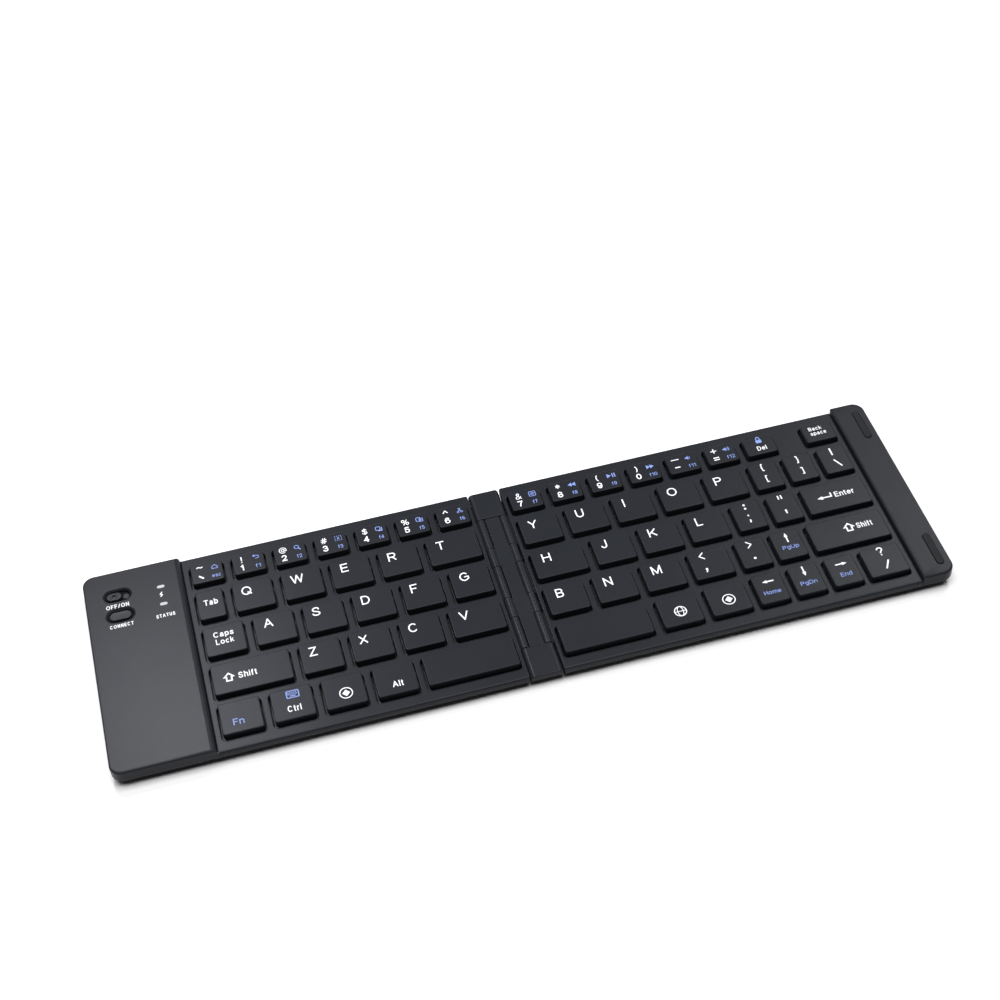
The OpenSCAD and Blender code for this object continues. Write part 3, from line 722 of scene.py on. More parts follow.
def screw(cx, cy):
    s = Solid()
    zb = BASE_Z + 0.1
    s.loft([circle(cx, cy, r, z) for r, z in
            ((0.9, zb), (1.05, zb + 0.01), (1.2, zb + 0.07), (1.27, zb + 0.2), (1.27, zb + 0.55), (1.22, zb + 0.6), (0.75, zb + 0.6),
             (0.75, FLOOR_Z + 2.45), (0.6, FLOOR_Z + 2.6))])
    c = Solid()
    for a in (20, 110):
        q = [(0.84, 0.15), (0.72, 0.18), (-0.72, 0.18), (-0.84, 0.15), (-0.84, -0.15), (-0.72, -0.18), (0.72, -0.18), (0.84, -0.15)]
        for k, z in ((1.0, zb - 0.2),):
            c.loft([[(cx + (x * cos(rad(a)) - y * sin(rad(a))) * t, cy + (x * sin(rad(a)) + y * cos(rad(a))) * t, zz)
                     for x, y in reversed(q)] for t, zz in ((1.0, zb - 0.2), (1.0, zb + 0.12), (0.5, zb + 0.42))])
    return s, c


def screws(name, node, body, xs):
    out = bmesh.new()
    s, c = screw(0, 0)
    first, second = Solid(), Solid()
    half = len(c.v) // 2
    first.add(c.v[:half], [f for f in c.f if max(f) < half])
    second.add(c.v[half:], [tuple(i - half for i in f) for f in c.f if min(f) >= half])
    me = cut(cut(to_mesh(s, "screw"), first), second)
    for k, x in enumerate(xs):
        for j, y in enumerate((-SCREW_Y, SCREW_Y)):
            n0 = len(out.verts)
            out.from_mesh(me)
            out.verts.ensure_lookup_table()
            m = Matrix.Translation((x * MM, y * MM, 0)) @ Matrix.Rotation(rad(37 * k + 61 * j), 4, "Z")
            bmesh.ops.transform(out, matrix=m, verts=out.verts[n0:])
    res = bpy.data.meshes.new(name)
    out.to_mesh(res)
    out.free()
    piece(name, res, body, M_screw, [node])


screws("left_screw_set", "left_screws", "left_half", (-138.6, -101, -57, -14))
screws("right_screw_set", "right_screws", "right_half", (14, 57, 101, 137.6))


# ---------------------------------------------------------------- spine
def arc(cx, cz, r, a0, a1, n):
    return [(cx + r * cos(rad(a0 + (a1 - a0) * k / n)), cz + r * sin(rad(a0 + (a1 - a0) * k / n))) for k in range(n + 1)]


def bridge_outline(humped):
    lo, rb = BASE_Z + 0.3, 0.45
    p = arc(5.5 - rb, lo + rb, rb, -90, 0, 4) + arc(AX, AZ, 1.5, 0, 90, 10)
    if humped:
        p += arc(AX, AZ, 1.5, 90, 143.13, 6)[1:] + arc(-AX, AZ, 1.5, 36.87, 90, 6)[:-1]
    return p + arc(-AX, AZ, 1.5, 90, 180, 10) + arc(-5.5 + rb, lo + rb, rb, 180, 270, 4)


for name, node, y0, y1 in (("front_cap", "front_end_cap", -HD, -29.8), ("rear_cap", "rear_end_cap", 29.8, HD)):
    s = Solid()
    run_y(s, bridge_outline(False), y0, y1, 0.32, 4)
    c, side = Solid(), -1 if y0 < 0 else 1
    prof = slope(BASE_Z, SLOPE_Z + 0.5) + [(-1.0, SLOPE_Z + 0.5), (-1.0, 0.0), (SLOPE_IN + 0.45, 0.0)]
    c.loft([[(x, side * (HD - i), z) for i, z in prof] for x in (-7.0, 7.0)])
    piece(name, cut(to_mesh(s, name), c), "bridge", M_spine, [node])

s = Solid()
run_y(s, bridge_outline(True), -29.8, 29.8, 0.1, 2)
me = to_mesh(s, "bridge_body")
for a, b in LONG_K:
    c = Solid()
    for sx in (-1, 1):
        prof = [(6.5, 2.75), (6.5, 6.75), (4.0, 6.75)] + arc(AX, AZ, 1.8, 90, 320.3, 22)
        prof = [(sx * x, z) for x, z in prof]
        c.loft([[(x, y, z) for x, z in prof] for y in (a - 0.2, b + 0.2)])
    me = cut(me, c)
c = Solid()
c.loft([[(x, y, z) for x, y in ((-1.3, -28.6), (1.3, -28.6), (1.3, 28.6), (-1.3, 28.6))] for z in (1.9, 5.9)])
me = cut(me, c)
piece("bridge_body", me, "bridge", M_spine, ["hinge_bridge"], angle=30)

s = Solid()
loops = []
for i, dz in [(0.0, 0.4), (0.0, 0.2)]:
    loops.append(ring(-2.5, 2.5, -29.75, 29.75, 0.35, 5, i, AZ + 1.3 - dz))
loops += [ring(-2.5, 2.5, -29.75, 29.75, 0.35, 5, i, AZ + 1.3 - dz) for i, dz in fillet(0.2, 4)[1:]]
loops += [ring(-2.5, 2.5, -29.75, 29.75, 0.35, 5, 0.3, AZ + 1.3)]
s.loft(loops)
piece("bridge_strip", s, "bridge", M_spine, ["bridge_cover"])

for sx, body, node in ((-1, "left_half", "left_hinge_leaf"), (1, "right_half", "right_hinge_leaf")):
    s = Solid()
    prof = [(7.1, 3.1), (7.1, 4.3)] + arc(AX, AZ, 1.5, 15.47, 327.77, 40)
    for a, b in LONG_K:
        run_y(s, prof, a, b, 0.12, 2, hole=(AX, AZ, 0.65))
        s.loft([[(x, y, z) for x, y in ((6.4, a + 0.1), (7.05, a + 0.1), (7.05, b - 0.1), (6.4, b - 0.1))] for z in (FLOOR_Z, 3.2)])
    s.loft([[(p[0], p[1], z) for p in ring(7.0, 10.4, -29.6, 29.6, 0.5, 4, i)] for i, z in
            ((0.1, FLOOR_Z), (0, FLOOR_Z + 0.1), (0, FLOOR_Z + 0.5), (0.1, FLOOR_Z + 0.6))])
    if sx < 0:
        s.mirror_x()
    piece(node + "_knuckles", s, body, M_spine, [node])


# ---------------------------------------------------------------- legends
INK_LO, INK_HI = -0.04, 0.025   # printed ink, from inside the surface to just above it
def slab(solid, outer, holes, x, y, z):
    """A flat printed shape with holes, moved to x, y. Shapes that overlap lie a hair apart in height."""
    solid.layer = (solid.layer + 1) % 8
    z += 0.003 * solid.layer
    loops = [[(px + x, py + y) for px, py in loop] for loop in [outer] + list(holes)]
    vec = [[Vector((a, b, 0)) for a, b in loop] for loop in loops]
    tris = tessellate_polygon(vec)
    flat = [(a, b) for loop in loops for a, b in loop]
    n = len(flat)
    verts = [(a, b, z + INK_HI) for a, b in flat] + [(a, b, z + INK_LO) for a, b in flat]
    faces = [tuple(t) for t in tris] + [tuple(i + n for i in reversed(t)) for t in tris]
    o = 0
    for loop in loops:
        m = len(loop)
        faces += [(o + i, o + (i + 1) % m, o + (i + 1) % m + n, o + i + n) for i in range(m)]
        o += m
    solid.add(verts, faces)


def line(points, w, closed=False):
    """Outline of a line of width w through the points: one outline, or two for a closed line."""
    P = [Vector(p) for p in points]
    n = len(P)
    left, right = [], []
    for i in range(n):
        a = P[i - 1] if (i or closed) else None
        b = P[(i + 1) % n] if (i < n - 1 or closed) else None
        e0 = (P[i] - a).normalized() if a is not None else None
        e1 = (b - P[i]).normalized() if b is not None else None
        e0, e1 = e0 or e1, e1 or e0
        n0, n1 = Vector((-e0.y, e0.x)), Vector((-e1.y, e1.x))
        m = n0 + n1
        m = m / max(m.dot(n0), 0.35)
        left.append(tuple(P[i] + m * w / 2))
        right.append(tuple(P[i] - m * w / 2))
    if closed:
        return [left, right]
    return [left + right[::-1]]


def bow(cx, cy, rx, ry, a0, a1, n=12):
    """Points on an ellipse, from angle a0 to a1."""
    return [(cx + rx * cos(rad(a0 + (a1 - a0) * k / n)), cy + ry * sin(rad(a0 + (a1 - a0) * k / n))) for k in range(n + 1)]


def loop(cx, cy, rx, ry, n=24):
    return bow(cx, cy, rx, ry, 0, 360 * (n - 1) / n, n - 1) + [None]


def flip_x(strokes):
    return [[q and (1 - q[0], q[1]) for q in st] for st in strokes]


def squeeze(strokes, y0, y1):
    return [[q and (q[0], y0 + q[1] * (y1 - y0)) for q in st] for st in strokes]


S_CURVE = [(0.93, 0.74), (0.86, 0.9), (0.70, 0.985), (0.5, 1.0), (0.28, 0.97), (0.12, 0.88), (0.07, 0.74), (0.13, 0.62), (0.3, 0.55),
           (0.5, 0.5), (0.72, 0.44), (0.9, 0.36), (0.98, 0.25), (0.92, 0.11), (0.74, 0.02), (0.5, 0), (0.26, 0.03), (0.08, 0.13), (0.0, 0.27)]
ARCH = [(0, 0.5), (0.14, 0.65), (0.45, 0.72), (0.75, 0.71), (0.95, 0.6), (1, 0.45), (1, 0)]
SIX = [loop(0.5, 0.31, 0.5, 0.31), [(0.0, 0.31), (0.03, 0.65), (0.15, 0.87), (0.35, 0.98), (0.55, 1), (0.8, 0.93), (0.93, 0.79)]]
PAREN = bow(1.0, 0.5, 1.0, 0.5, 100, 260, 12)
BRACE = [(1, 1), (0.6, 1), (0.45, 0.92), (0.45, 0.62), (0.3, 0.52), (0, 0.5), (0.3, 0.48), (0.45, 0.38), (0.45, 0.08), (0.6, 0), (1, 0)]
# width of a character as a part of the capital height, and its centre lines in a box of 1 x 1
LETTER = {
    "A": (0.95, [[(0, 0), (0.5, 1), (1, 0)], [(0.22, 0.33), (0.78, 0.33)]]),
    "B": (0.80, [[(0, 0), (0, 1)], [(0, 1)] + bow(0.55, 0.755, 0.38, 0.245, 90, -90) + [(0, 0.51)],
                 [(0, 0.51)] + bow(0.6, 0.255, 0.4, 0.255, 90, -90) + [(0, 0)]]),
    "C": (0.92, [bow(0.5, 0.5, 0.5, 0.5, 40, 320, 20)]),
    "D": (0.87, [[(0, 0), (0, 1)], [(0, 1)] + bow(0.42, 0.5, 0.58, 0.5, 90, -90, 14) + [(0, 0)]]),
    "E": (0.76, [[(1, 1), (0, 1), (0, 0), (1, 0)], [(0, 0.52), (0.9, 0.52)]]),
    "F": (0.70, [[(1, 1), (0, 1), (0, 0)], [(0, 0.5), (0.82, 0.5)]]),
    "G": (0.98, [bow(0.5, 0.5, 0.5, 0.5, 40, 300, 20) + [(1, 0.2), (1, 0.47), (0.58, 0.47)]]),
    "H": (0.82, [[(0, 0), (0, 1)], [(1, 0), (1, 1)], [(0, 0.52), (1, 0.52)]]),
    "I": (0.0, [[(0.5, 0), (0.5, 1)]]),
    "J": (0.60, [[(1, 1)] + bow(0.5, 0.3, 0.5, 0.3, 0, -175, 10)]),
    "K": (0.86, [[(0, 0), (0, 1)], [(0.94, 0.97), (0.08, 0.35)], [(0.35, 0.57), (0.97, 0.03)]]),
    "L": (0.66, [[(0, 1), (0, 0), (1, 0)]]),
    "M": (0.97, [[(0, 0), (0, 1), (0.5, 0.05), (1, 1), (1, 0)]]),
    "N": (0.82, [[(0, 0), (0, 1), (1, 0), (1, 1)]]),
    "O": (1.0, [loop(0.5, 0.5, 0.5, 0.5)]),
    "P": (0.80, [[(0, 0), (0, 1)], [(0, 1)] + bow(0.6, 0.735, 0.4, 0.265, 90, -90) + [(0, 0.47)]]),
    "Q": (1.0, [loop(0.5, 0.5, 0.5, 0.5), [(0.62, 0.3), (1.05, 0.0)]]),
    "R": (0.88, [[(0, 0), (0, 1)], [(0, 1)] + bow(0.58, 0.735, 0.38, 0.265, 90, -90) + [(0, 0.47)], [(0.55, 0.45), (0.97, 0.03)]]),
    "S": (0.82, [S_CURVE]),
    "T": (0.83, [[(0, 1), (1, 1)], [(0.5, 1), (0.5, 0)]]),
    "U": (0.82, [[(0, 1)] + bow(0.5, 0.38, 0.5, 0.38, 180, 360, 14) + [(1, 1)]]),
    "V": (0.92, [[(0, 1), (0.5, 0), (1, 1)]]),
    "W": (1.28, [[(0, 1), (0.25, 0), (0.5, 1), (0.75, 0), (1, 1)]]),
    "X": (0.92, [[(0.03, 0.03), (0.97, 0.97)], [(0.03, 0.97), (0.97, 0.03)]]),
    "Y": (0.92, [[(0.02, 0.98), (0.5, 0.42), (0.98, 0.98)], [(0.5, 0.45), (0.5, 0)]]),
    "Z": (0.83, [[(0.05, 1), (0.95, 1), (0.0, 0), (1, 0)]]),
    "0": (0.70, [loop(0.5, 0.5, 0.5, 0.5)]),
    "1": (0.42, [[(0, 0.72), (0.55, 0.84), (1, 1)], [(1, 1), (1, 0)]]),
    "2": (0.70, [[(0.03, 0.73), (0.1, 0.89), (0.27, 0.98), (0.5, 1.0), (0.76, 0.97), (0.93, 0.84), (0.95, 0.69), (0.85, 0.5), (0.6, 0.31),
                  (0.25, 0.12), (0.04, 0), (1, 0)]]),
    "3": (0.70, [[(0.03, 0.77), (0.12, 0.92), (0.3, 0.99), (0.5, 1), (0.75, 0.96), (0.9, 0.83), (0.88, 0.66), (0.72, 0.55), (0.45, 0.52)],
                 [(0.45, 0.52), (0.75, 0.5), (0.95, 0.38), (1, 0.27), (0.93, 0.11), (0.73, 0.02), (0.5, 0), (0.27, 0.02), (0.08, 0.13), (0.0, 0.27)]]),
    "4": (0.70, [[(0.75, 0), (0.75, 1), (0, 0.28)], [(0, 0.28), (1, 0.28)]]),
    "5": (0.70, [[(0.92, 1), (0.2, 1), (0.1, 0.52), (0.28, 0.6), (0.5, 0.64), (0.77, 0.6), (0.96, 0.46), (1, 0.3), (0.92, 0.12), (0.73, 0.02),
                  (0.48, 0), (0.25, 0.03), (0.08, 0.12), (0, 0.24)]]),
    "6": (0.70, SIX),
    "7": (0.70, [[(0, 1), (1, 1), (0.7, 0.68), (0.48, 0.35), (0.38, 0)]]),
    "8": (0.70, [loop(0.5, 0.755, 0.42, 0.245), loop(0.5, 0.255, 0.5, 0.255)]),
    "9": (0.70, [[q and (1 - q[0], 1 - q[1]) for q in st] for st in SIX]),
    "a": (0.72, [[(0.1, 0.58), (0.25, 0.69), (0.5, 0.72), (0.78, 0.68), (0.88, 0.52), (0.88, 0.0)],
                 [(0.88, 0.42), (0.45, 0.39), (0.1, 0.32), (0.0, 0.17), (0.12, 0.03), (0.38, 0), (0.68, 0.05), (0.88, 0.2)]]),
    "b": (0.72, [[(0, 1), (0, 0)], loop(0.5, 0.36, 0.5, 0.36)]),
    "c": (0.68, [bow(0.5, 0.36, 0.5, 0.36, 42, 318, 16)]),
    "d": (0.72, [[(1, 1), (1, 0)], loop(0.5, 0.36, 0.5, 0.36)]),
    "e": (0.73, [[(0, 0.37), (1, 0.37)], bow(0.5, 0.36, 0.5, 0.36, 2, 316, 16)]),
    "f": (0.42, [[(0.95, 0.99), (0.75, 1), (0.5, 0.96), (0.4, 0.82), (0.4, 0)], [(0, 0.7), (0.85, 0.7)]]),
    "g": (0.70, [loop(0.5, 0.36, 0.5, 0.36), [(1, 0.7), (1, -0.02), (0.9, -0.18), (0.65, -0.27), (0.35, -0.27), (0.1, -0.17)]]),
    "h": (0.68, [[(0, 1), (0, 0)], ARCH]),
    "i": (0.0, [[(0.5, 0), (0.5, 0.7)], [(0.5, 0.985), (0.5, 1.0)]]),
    "k": (0.68, [[(0, 1), (0, 0)], [(0.88, 0.7), (0.08, 0.26)], [(0.38, 0.42), (0.95, 0.02)]]),
    "l": (0.0, [[(0.5, 0), (0.5, 1)]]),
    "m": (1.12, [[(0, 0.7), (0, 0)], [(0, 0.5), (0.1, 0.66), (0.25, 0.72), (0.4, 0.68), (0.5, 0.5), (0.5, 0)],
                 [(0.5, 0.5), (0.6, 0.66), (0.75, 0.72), (0.92, 0.68), (1, 0.5), (1, 0)]]),
    "n": (0.68, [[(0, 0.7), (0, 0)], ARCH]),
    "o": (0.75, [loop(0.5, 0.36, 0.5, 0.36)]),
    "p": (0.72, [[(0, 0.7), (0, -0.26)], loop(0.5, 0.36, 0.5, 0.36)]),
    "r": (0.42, [[(0, 0.7), (0, 0)], [(0, 0.46), (0.25, 0.66), (0.55, 0.71), (0.92, 0.7)]]),
    "s": (0.66, [[(x_, y_ * 0.72) for x_, y_ in S_CURVE]]),
    "t": (0.40, [[(0.42, 0.92), (0.42, 0.12), (0.6, 0), (0.92, 0.0)], [(0, 0.7), (0.9, 0.7)]]),
    "/": (0.5, [[(0, 0), (1, 1)]]),
    "~": (1, [[(0, 0.2), (0.2, 0.8), (0.38, 0.85), (0.62, 0.2), (0.8, 0.15), (1, 0.8)]]),
    "!": (0, [[(0.5, 1), (0.5, 0.36)], [(0.5, 0.01), (0.5, 0)]]),
    "@": (1, [bow(0.5, 0.5, 0.5, 0.5, -20, 300, 22), loop(0.47, 0.5, 0.2, 0.22, 16), [(0.72, 0.7), (0.7, 0.36), (0.82, 0.3), (0.95, 0.4)]]),
    "#": (1, [[(0.2, 0), (0.42, 1)], [(0.58, 0), (0.8, 1)], [(0, 0.32), (0.95, 0.32)], [(0.05, 0.68), (1, 0.68)]]),
    "$": (1, squeeze([S_CURVE], 0.1, 0.9) + [[(0.5, 0), (0.5, 1)]]),
    "%": (1, [loop(0.2, 0.76, 0.2, 0.24, 16), loop(0.8, 0.24, 0.2, 0.24, 16), [(0.2, 0), (0.8, 1)]]),
    "^": (1, [[(0, 0), (0.5, 1), (1, 0)]]),
    "&": (1, [[(1, 0), (0.35, 0.62), (0.25, 0.8), (0.35, 0.97), (0.5, 1), (0.66, 0.95), (0.7, 0.8), (0.55, 0.6)],
              [(0.55, 0.6), (0.2, 0.42), (0.02, 0.25), (0.1, 0.06), (0.35, 0), (0.6, 0.05), (0.85, 0.25), (0.95, 0.42)]]),
    "*": (1, [[(0.5, 0), (0.5, 1)], [(0.05, 0.24), (0.95, 0.76)], [(0.05, 0.76), (0.95, 0.24)]]),
    "(": (1, [PAREN]), ")": (1, flip_x([PAREN])),
    "+": (1, [[(0.5, 0), (0.5, 1)], [(0, 0.5), (1, 0.5)]]), "_": (1, [[(0, 0.5), (1, 0.5)]]),
    "{": (1, [BRACE]), "}": (1, flip_x([BRACE])),
    "[": (1, [[(1, 1), (0, 1), (0, 0), (1, 0)]]), "]": (1, [[(0, 1), (1, 1), (1, 0), (0, 0)]]),
    ";": (1, [[(0.6, 0.93), (0.6, 1.0)], [(0.75, 0.3), (0.7, 0.12), (0.1, 0)]]),
    '"': (1, [[(0, 0), (0, 1)], [(1, 0), (1, 1)]]),
    "<": (1, [[(1, 1), (0, 0.5), (1, 0)]]), ">": (1, [[(0, 1), (1, 0.5), (0, 0)]]),
    ",": (1, [[(0.8, 1), (0.8, 0.55), (0.1, 0)]]),
    "?": (1, [[(0.0, 0.77), (0.1, 0.92), (0.3, 1), (0.5, 1), (0.78, 0.97), (0.97, 0.85), (0.98, 0.7), (0.85, 0.57), (0.6, 0.44), (0.5, 0.33),
               (0.5, 0.3)], [(0.5, 0.01), (0.5, 0)]]),
}


def draw(solid, char, x, y, w, h, stroke, z):
    """A character in a box of w x h whose lower left corner is at x, y."""
    t = stroke
    for st in LETTER[char][1]:
        closed = st[-1] is None
        pts = [Vector((x + t / 2 + px * (w - t), y + t / 2 + py * (h - t))) for px, py in (st[:-1] if closed else st)]
        if closed:
            a, b = line(pts, t, True)
            slab(solid, b, [a], 0, 0, z)
            continue
        part, parts = [pts[0]], []
        for i in range(1, len(pts)):
            part.append(pts[i])
            if i < len(pts) - 1 and (pts[i] - pts[i - 1]).normalized().dot((pts[i + 1] - pts[i]).normalized()) < -0.34:
                parts.append(part)
                part = [pts[i]]
        for part in parts + [part]:
            ends = []
            for p, q in ((part[0], part[1]), (part[-1], part[-2])):
                d = (p - q).normalized()
                dx, dy = abs(d.x), abs(d.y)
                if max(dx, dy) > 0.985:
                    e = 0.5
                elif min(abs(p.y - y - t / 2), abs(p.y - y - h + t / 2)) < 0.08 * h:
                    e = 0.5 * (1 - dx) / dy if dx < dy else 0.5 * (1 - dy) / dx
                else:
                    e = 0.12
                ends.append(p + d * e * t)
            slab(solid, line([ends[0]] + part[1:-1] + [ends[1]], t)[0], [], 0, 0, z)


def write(solid, text, x, y, cap, width, z, stroke, gap=0.14):
    """Text from its left edge x and baseline y."""
    wide = sum(LETTER[c][0] for c in text) * cap
    thin = sum(LETTER[c][0] == 0 for c in text) * stroke
    g = gap * cap + 0.02
    k = (width - g * (len(text) - 1) - thin) / wide
    for c in text:
        w = LETTER[c][0] * cap * k or stroke
        draw(solid, c, x, y, w, cap, stroke, z)
        x += w + g


def glyph(solid, char, cx, cy, h, w, z, stroke):
    """One sign in a box of w x h about its middle."""
    draw(solid, char, cx - w / 2, cy - h / 2, max(w, stroke), h, stroke, z)


def disc(cx, cy, r, n=20):
    return [(cx + r * cos(2 * math.pi * k / n), cy + r * sin(2 * math.pi * k / n)) for k in range(n)]


def rect(x0, x1, y0, y1):
    return [(x0, y0), (x1, y0), (x1, y1), (x0, y1)]


def icon(name):
    """Plain signs about their middle, as (outline, holes) pairs, in millimetres."""
    w = 0.24
    if name == "home":
        a, b = line([(-0.95, -0.75), (-0.95, 0.1), (0, 0.9), (0.95, 0.1), (0.95, -0.75)], w, True)
        return [(a, [b])]
    if name == "back":
        pts = [(-0.5, 0.75), (0.35, 0.75)] + [(0.35 + 0.62 * cos(rad(a)), 0.13 + 0.62 * sin(rad(a))) for a in (60, 30, 0, -30, -60, -90)]
        return [(line(pts + [(-0.35, -0.49)], w)[0], []), ([(-1.25, 0.75), (-0.45, 0.15), (-0.45, 1.35)], [])]
    if name == "find":
        a, b = line(disc(-0.25, 0.3, 0.75), w, True)
        return [(a, [b]), (line([(0.3, -0.3), (1.05, -1.1)], 0.34)[0], [])]
    if name == "cut":
        out = [(line([(-0.42, 1.15), (0.42, -0.45)], w)[0], []), (line([(0.42, 1.15), (-0.42, -0.45)], w)[0], [])]
        for x in (-0.66, 0.66):
            a, b = line(disc(x, -0.75, 0.34, 14), 0.2, True)
            out.append((a, [b]))
        return out
    if name == "mark":
        out = [(rect(x - 0.17, x + 0.17, y - 0.12, y + 0.12), []) for x in (-1.05, -0.35, 0.35, 1.05) for y in (-0.95, 0.95)]
        out += [(rect(x - 0.12, x + 0.12, y - 0.15, y + 0.15), []) for x in (-1.1, 1.1) for y in (-0.33, 0.33)]
        return out + [([(-0.45, -0.5), (0.5, -0.12), (-0.12, 0.5)], [])]
    if name == "copy":
        a, b = line(ring2(-1.15, 0.4, -0.65, 1.0, 0.35), w, True)
        return [(a, [b]), (line([(0.95, 0.5), (0.95, -0.95), (-0.35, -0.95)], 0.36)[0], [])]
    if name == "paste":
        a, b = line(ring2(-1.15, 0.3, -0.75, 1.0, 0.35), w, True)
        c, d = line(rect(-0.05, 1.1, -1.0, 0.35), w, True)
        return [(a, [b]), (c, [d]), (rect(0.25, 0.8, -0.45, -0.2), [])]
    if name == "screen":
        a, b = line(ring2(-1.15, 1.15, -1.1, 1.1, 0.4), w, True)
        return [(a, [b]), (rect(-0.7, 0.7, 0.2, 0.5), []), (rect(-0.7, 0.7, -0.45, -0.15), [])]
    if name in ("prev", "next"):
        s_ = -1 if name == "prev" else 1
        return [([(s_ * 0.1, 0), (s_ * -1.35, 0.95), (s_ * -1.35, -0.95)], []), ([(s_ * 1.45, 0), (0, 0.95), (0, -0.95)], [])]
    if name == "play":
        return [([(0.05, 0), (-1.5, 0.95), (-1.5, -0.95)], []), (rect(0.4, 0.8, -0.95, 0.95), []), (rect(1.15, 1.55, -0.95, 0.95), [])]
    if name in ("quiet", "loud"):
        x = -0.45 if name == "quiet" else -0.75
        out = [([(x - 0.95, -0.3), (x - 0.45, -0.3), (x + 0.3, -0.95), (x + 0.3, 0.95), (x - 0.45, 0.3), (x - 0.95, 0.3)], [])]
        for k in range(1 if name == "quiet" else 2):
            r = 0.65 + 0.6 * k
            out.append((line([(x + 0.15 + r * cos(rad(a)), r * sin(rad(a))) for a in (-45, -22, 0, 22, 45)], 0.26)[0], []))
        return out
    if name == "lock":
        a = line([(-0.6, -0.1), (-0.6, 0.6)] + [(0.6 * cos(rad(t)), 0.75 + 0.6 * sin(rad(t))) for t in (150, 120, 90, 60, 30)]
                 + [(0.6, 0.6), (0.6, -0.1)], 0.34)[0]
        return [(a, []), (rect(-1.05, 1.05, -1.5, -0.05), [])]
    if name == "shift":
        a, b = line([(-0.85, -1.5), (0.85, -1.5), (0.85, 0.1), (1.55, 0.1), (0, 1.55), (-1.55, 0.1), (-0.85, 0.1)], 0.5, True)
        return [(a, [b])]
    if name == "super":
        a, b = line(disc(0, 0, 2.08, 40), 0.34, True)
        return [(a, [b]), ([(0, -1.3), (1.3, 0), (0, 1.3), (-1.3, 0)], [])]
    if name == "globe":
        a, b = line(disc(0, 0, 2.0, 40), 0.34, True)
        c, d = line([(0.95 * cos(2 * math.pi * k / 30), 2.05 * sin(2 * math.pi * k / 30)) for k in range(30)], 0.26, True)
        return [(a, [b]), (c, [d]), (rect(-2.0, 2.0, -0.13, 0.13), [])]
    if name == "keyboard":
        a, b = line(ring2(-2.0, 2.0, -1.35, 1.35, 0.3), 0.36, True)
        out = [(a, [b])]
        for j, y in enumerate((0.62, 0.0)):
            out += [(rect(-1.5 + 0.66 * i - 0.21 + 0.1 * j, -1.5 + 0.66 * i + 0.21 + 0.1 * j, y - 0.19, y + 0.19), []) for i in range(5)]
        return out + [(rect(-0.95, 0.95, -0.86, -0.5), [])]
    if name == "enter":
        return [(line([(2.5, 1.35), (2.5, -0.35), (-0.9, -0.35)], 0.5)[0], []), ([(-2.7, -0.35), (-0.75, -1.15), (-0.75, 0.45)], [])]
    if name in ("up", "down", "left", "right"):
        shaft, head = rect(-0.25, 0.25, -2.1, 0.6), [(-0.68, 0.35), (0.68, 0.35), (0, 2.1)]
        turn = {"up": 0, "left": 90, "down": 180, "right": -90}[name]
        rot = lambda p: (p[0] * cos(rad(turn)) - p[1] * sin(rad(turn)), p[0] * sin(rad(turn)) + p[1] * cos(rad(turn)))
        return [([rot(p) for p in shaft], []), ([rot(p) for p in head], [])]
    if name == "bolt":
        return [(line([(0.36, 1.0), (-0.34, 0.2), (0.34, -0.2), (-0.36, -1.0)], 0.36)[0], [])]
    raise KeyError(name)


def ring2(x0, x1, y0, y1, r):
    return [(p[0], p[1]) for p in ring(x0, x1, y0, y1, r, 4)]


white = {n: Solid() for n in KEYS}
blue = {n: Solid() for n in KEYS}


def put_icon(solid, name, x, y, z=KEY_TOP, k=1.0):
    for outer, holes in icon(name):
        slab(solid, [(a * k, b * k) for a, b in outer], [[(a * k, b * k) for a, b in h] for h in holes], x, y, z)


def corner(node, i):
    x, w, r = KEYS[node][i]
    return x, row_y(r)


# letters: key, index, letter, left edge, width, baseline above the key's front edge
LETTERS = [
    ("keys_qwert", 6.8, [("Q", 2.7, 3.6), ("W", 2.8, 4.7), ("E", 3.3, 2.7), ("R", 2.9, 3.1), ("T", 3.2, 3.0)]),
    ("keys_asdfg", 7.05, [("A", 3.15, 3.3), ("S", 2.7, 3.0), ("D", 2.7, 3.1), ("F", 2.8, 2.6), ("G", 3.0, 3.4)]),
    ("keys_zxcv", 6.95, [("Z", 2.8, 2.9), ("X", 2.7, 3.2), ("C", 2.6, 3.3), ("V", 3.1, 3.4)]),
    ("keys_yuiop", 6.8, [("Y", 2.9, 3.3), ("U", 3.2, 3.0), ("I", 3.45, 0.66), ("O", 2.7, 3.7), ("P", 3.2, 2.9)]),
    ("keys_hjkl_quote", 7.0, [("H", 3.3, 3.2), ("J", 2.85, 2.3), ("K", 3.0, 3.2), ("L", 3.2, 2.4)]),
    ("keys_bnm_stop", 6.9, [("B", 3.45, 2.8), ("N", 3.3, 3.1), ("M", 3.2, 3.6)]),
]
for node, base, items in LETTERS:
    for i, (ch, left, width) in enumerate(items):
        x, y = corner(node, i)
        glyph(white[node], ch, x + left + width / 2 + 0.12, y + base + 1.6, 3.74, width * 0.94, KEY_TOP, 0.46)

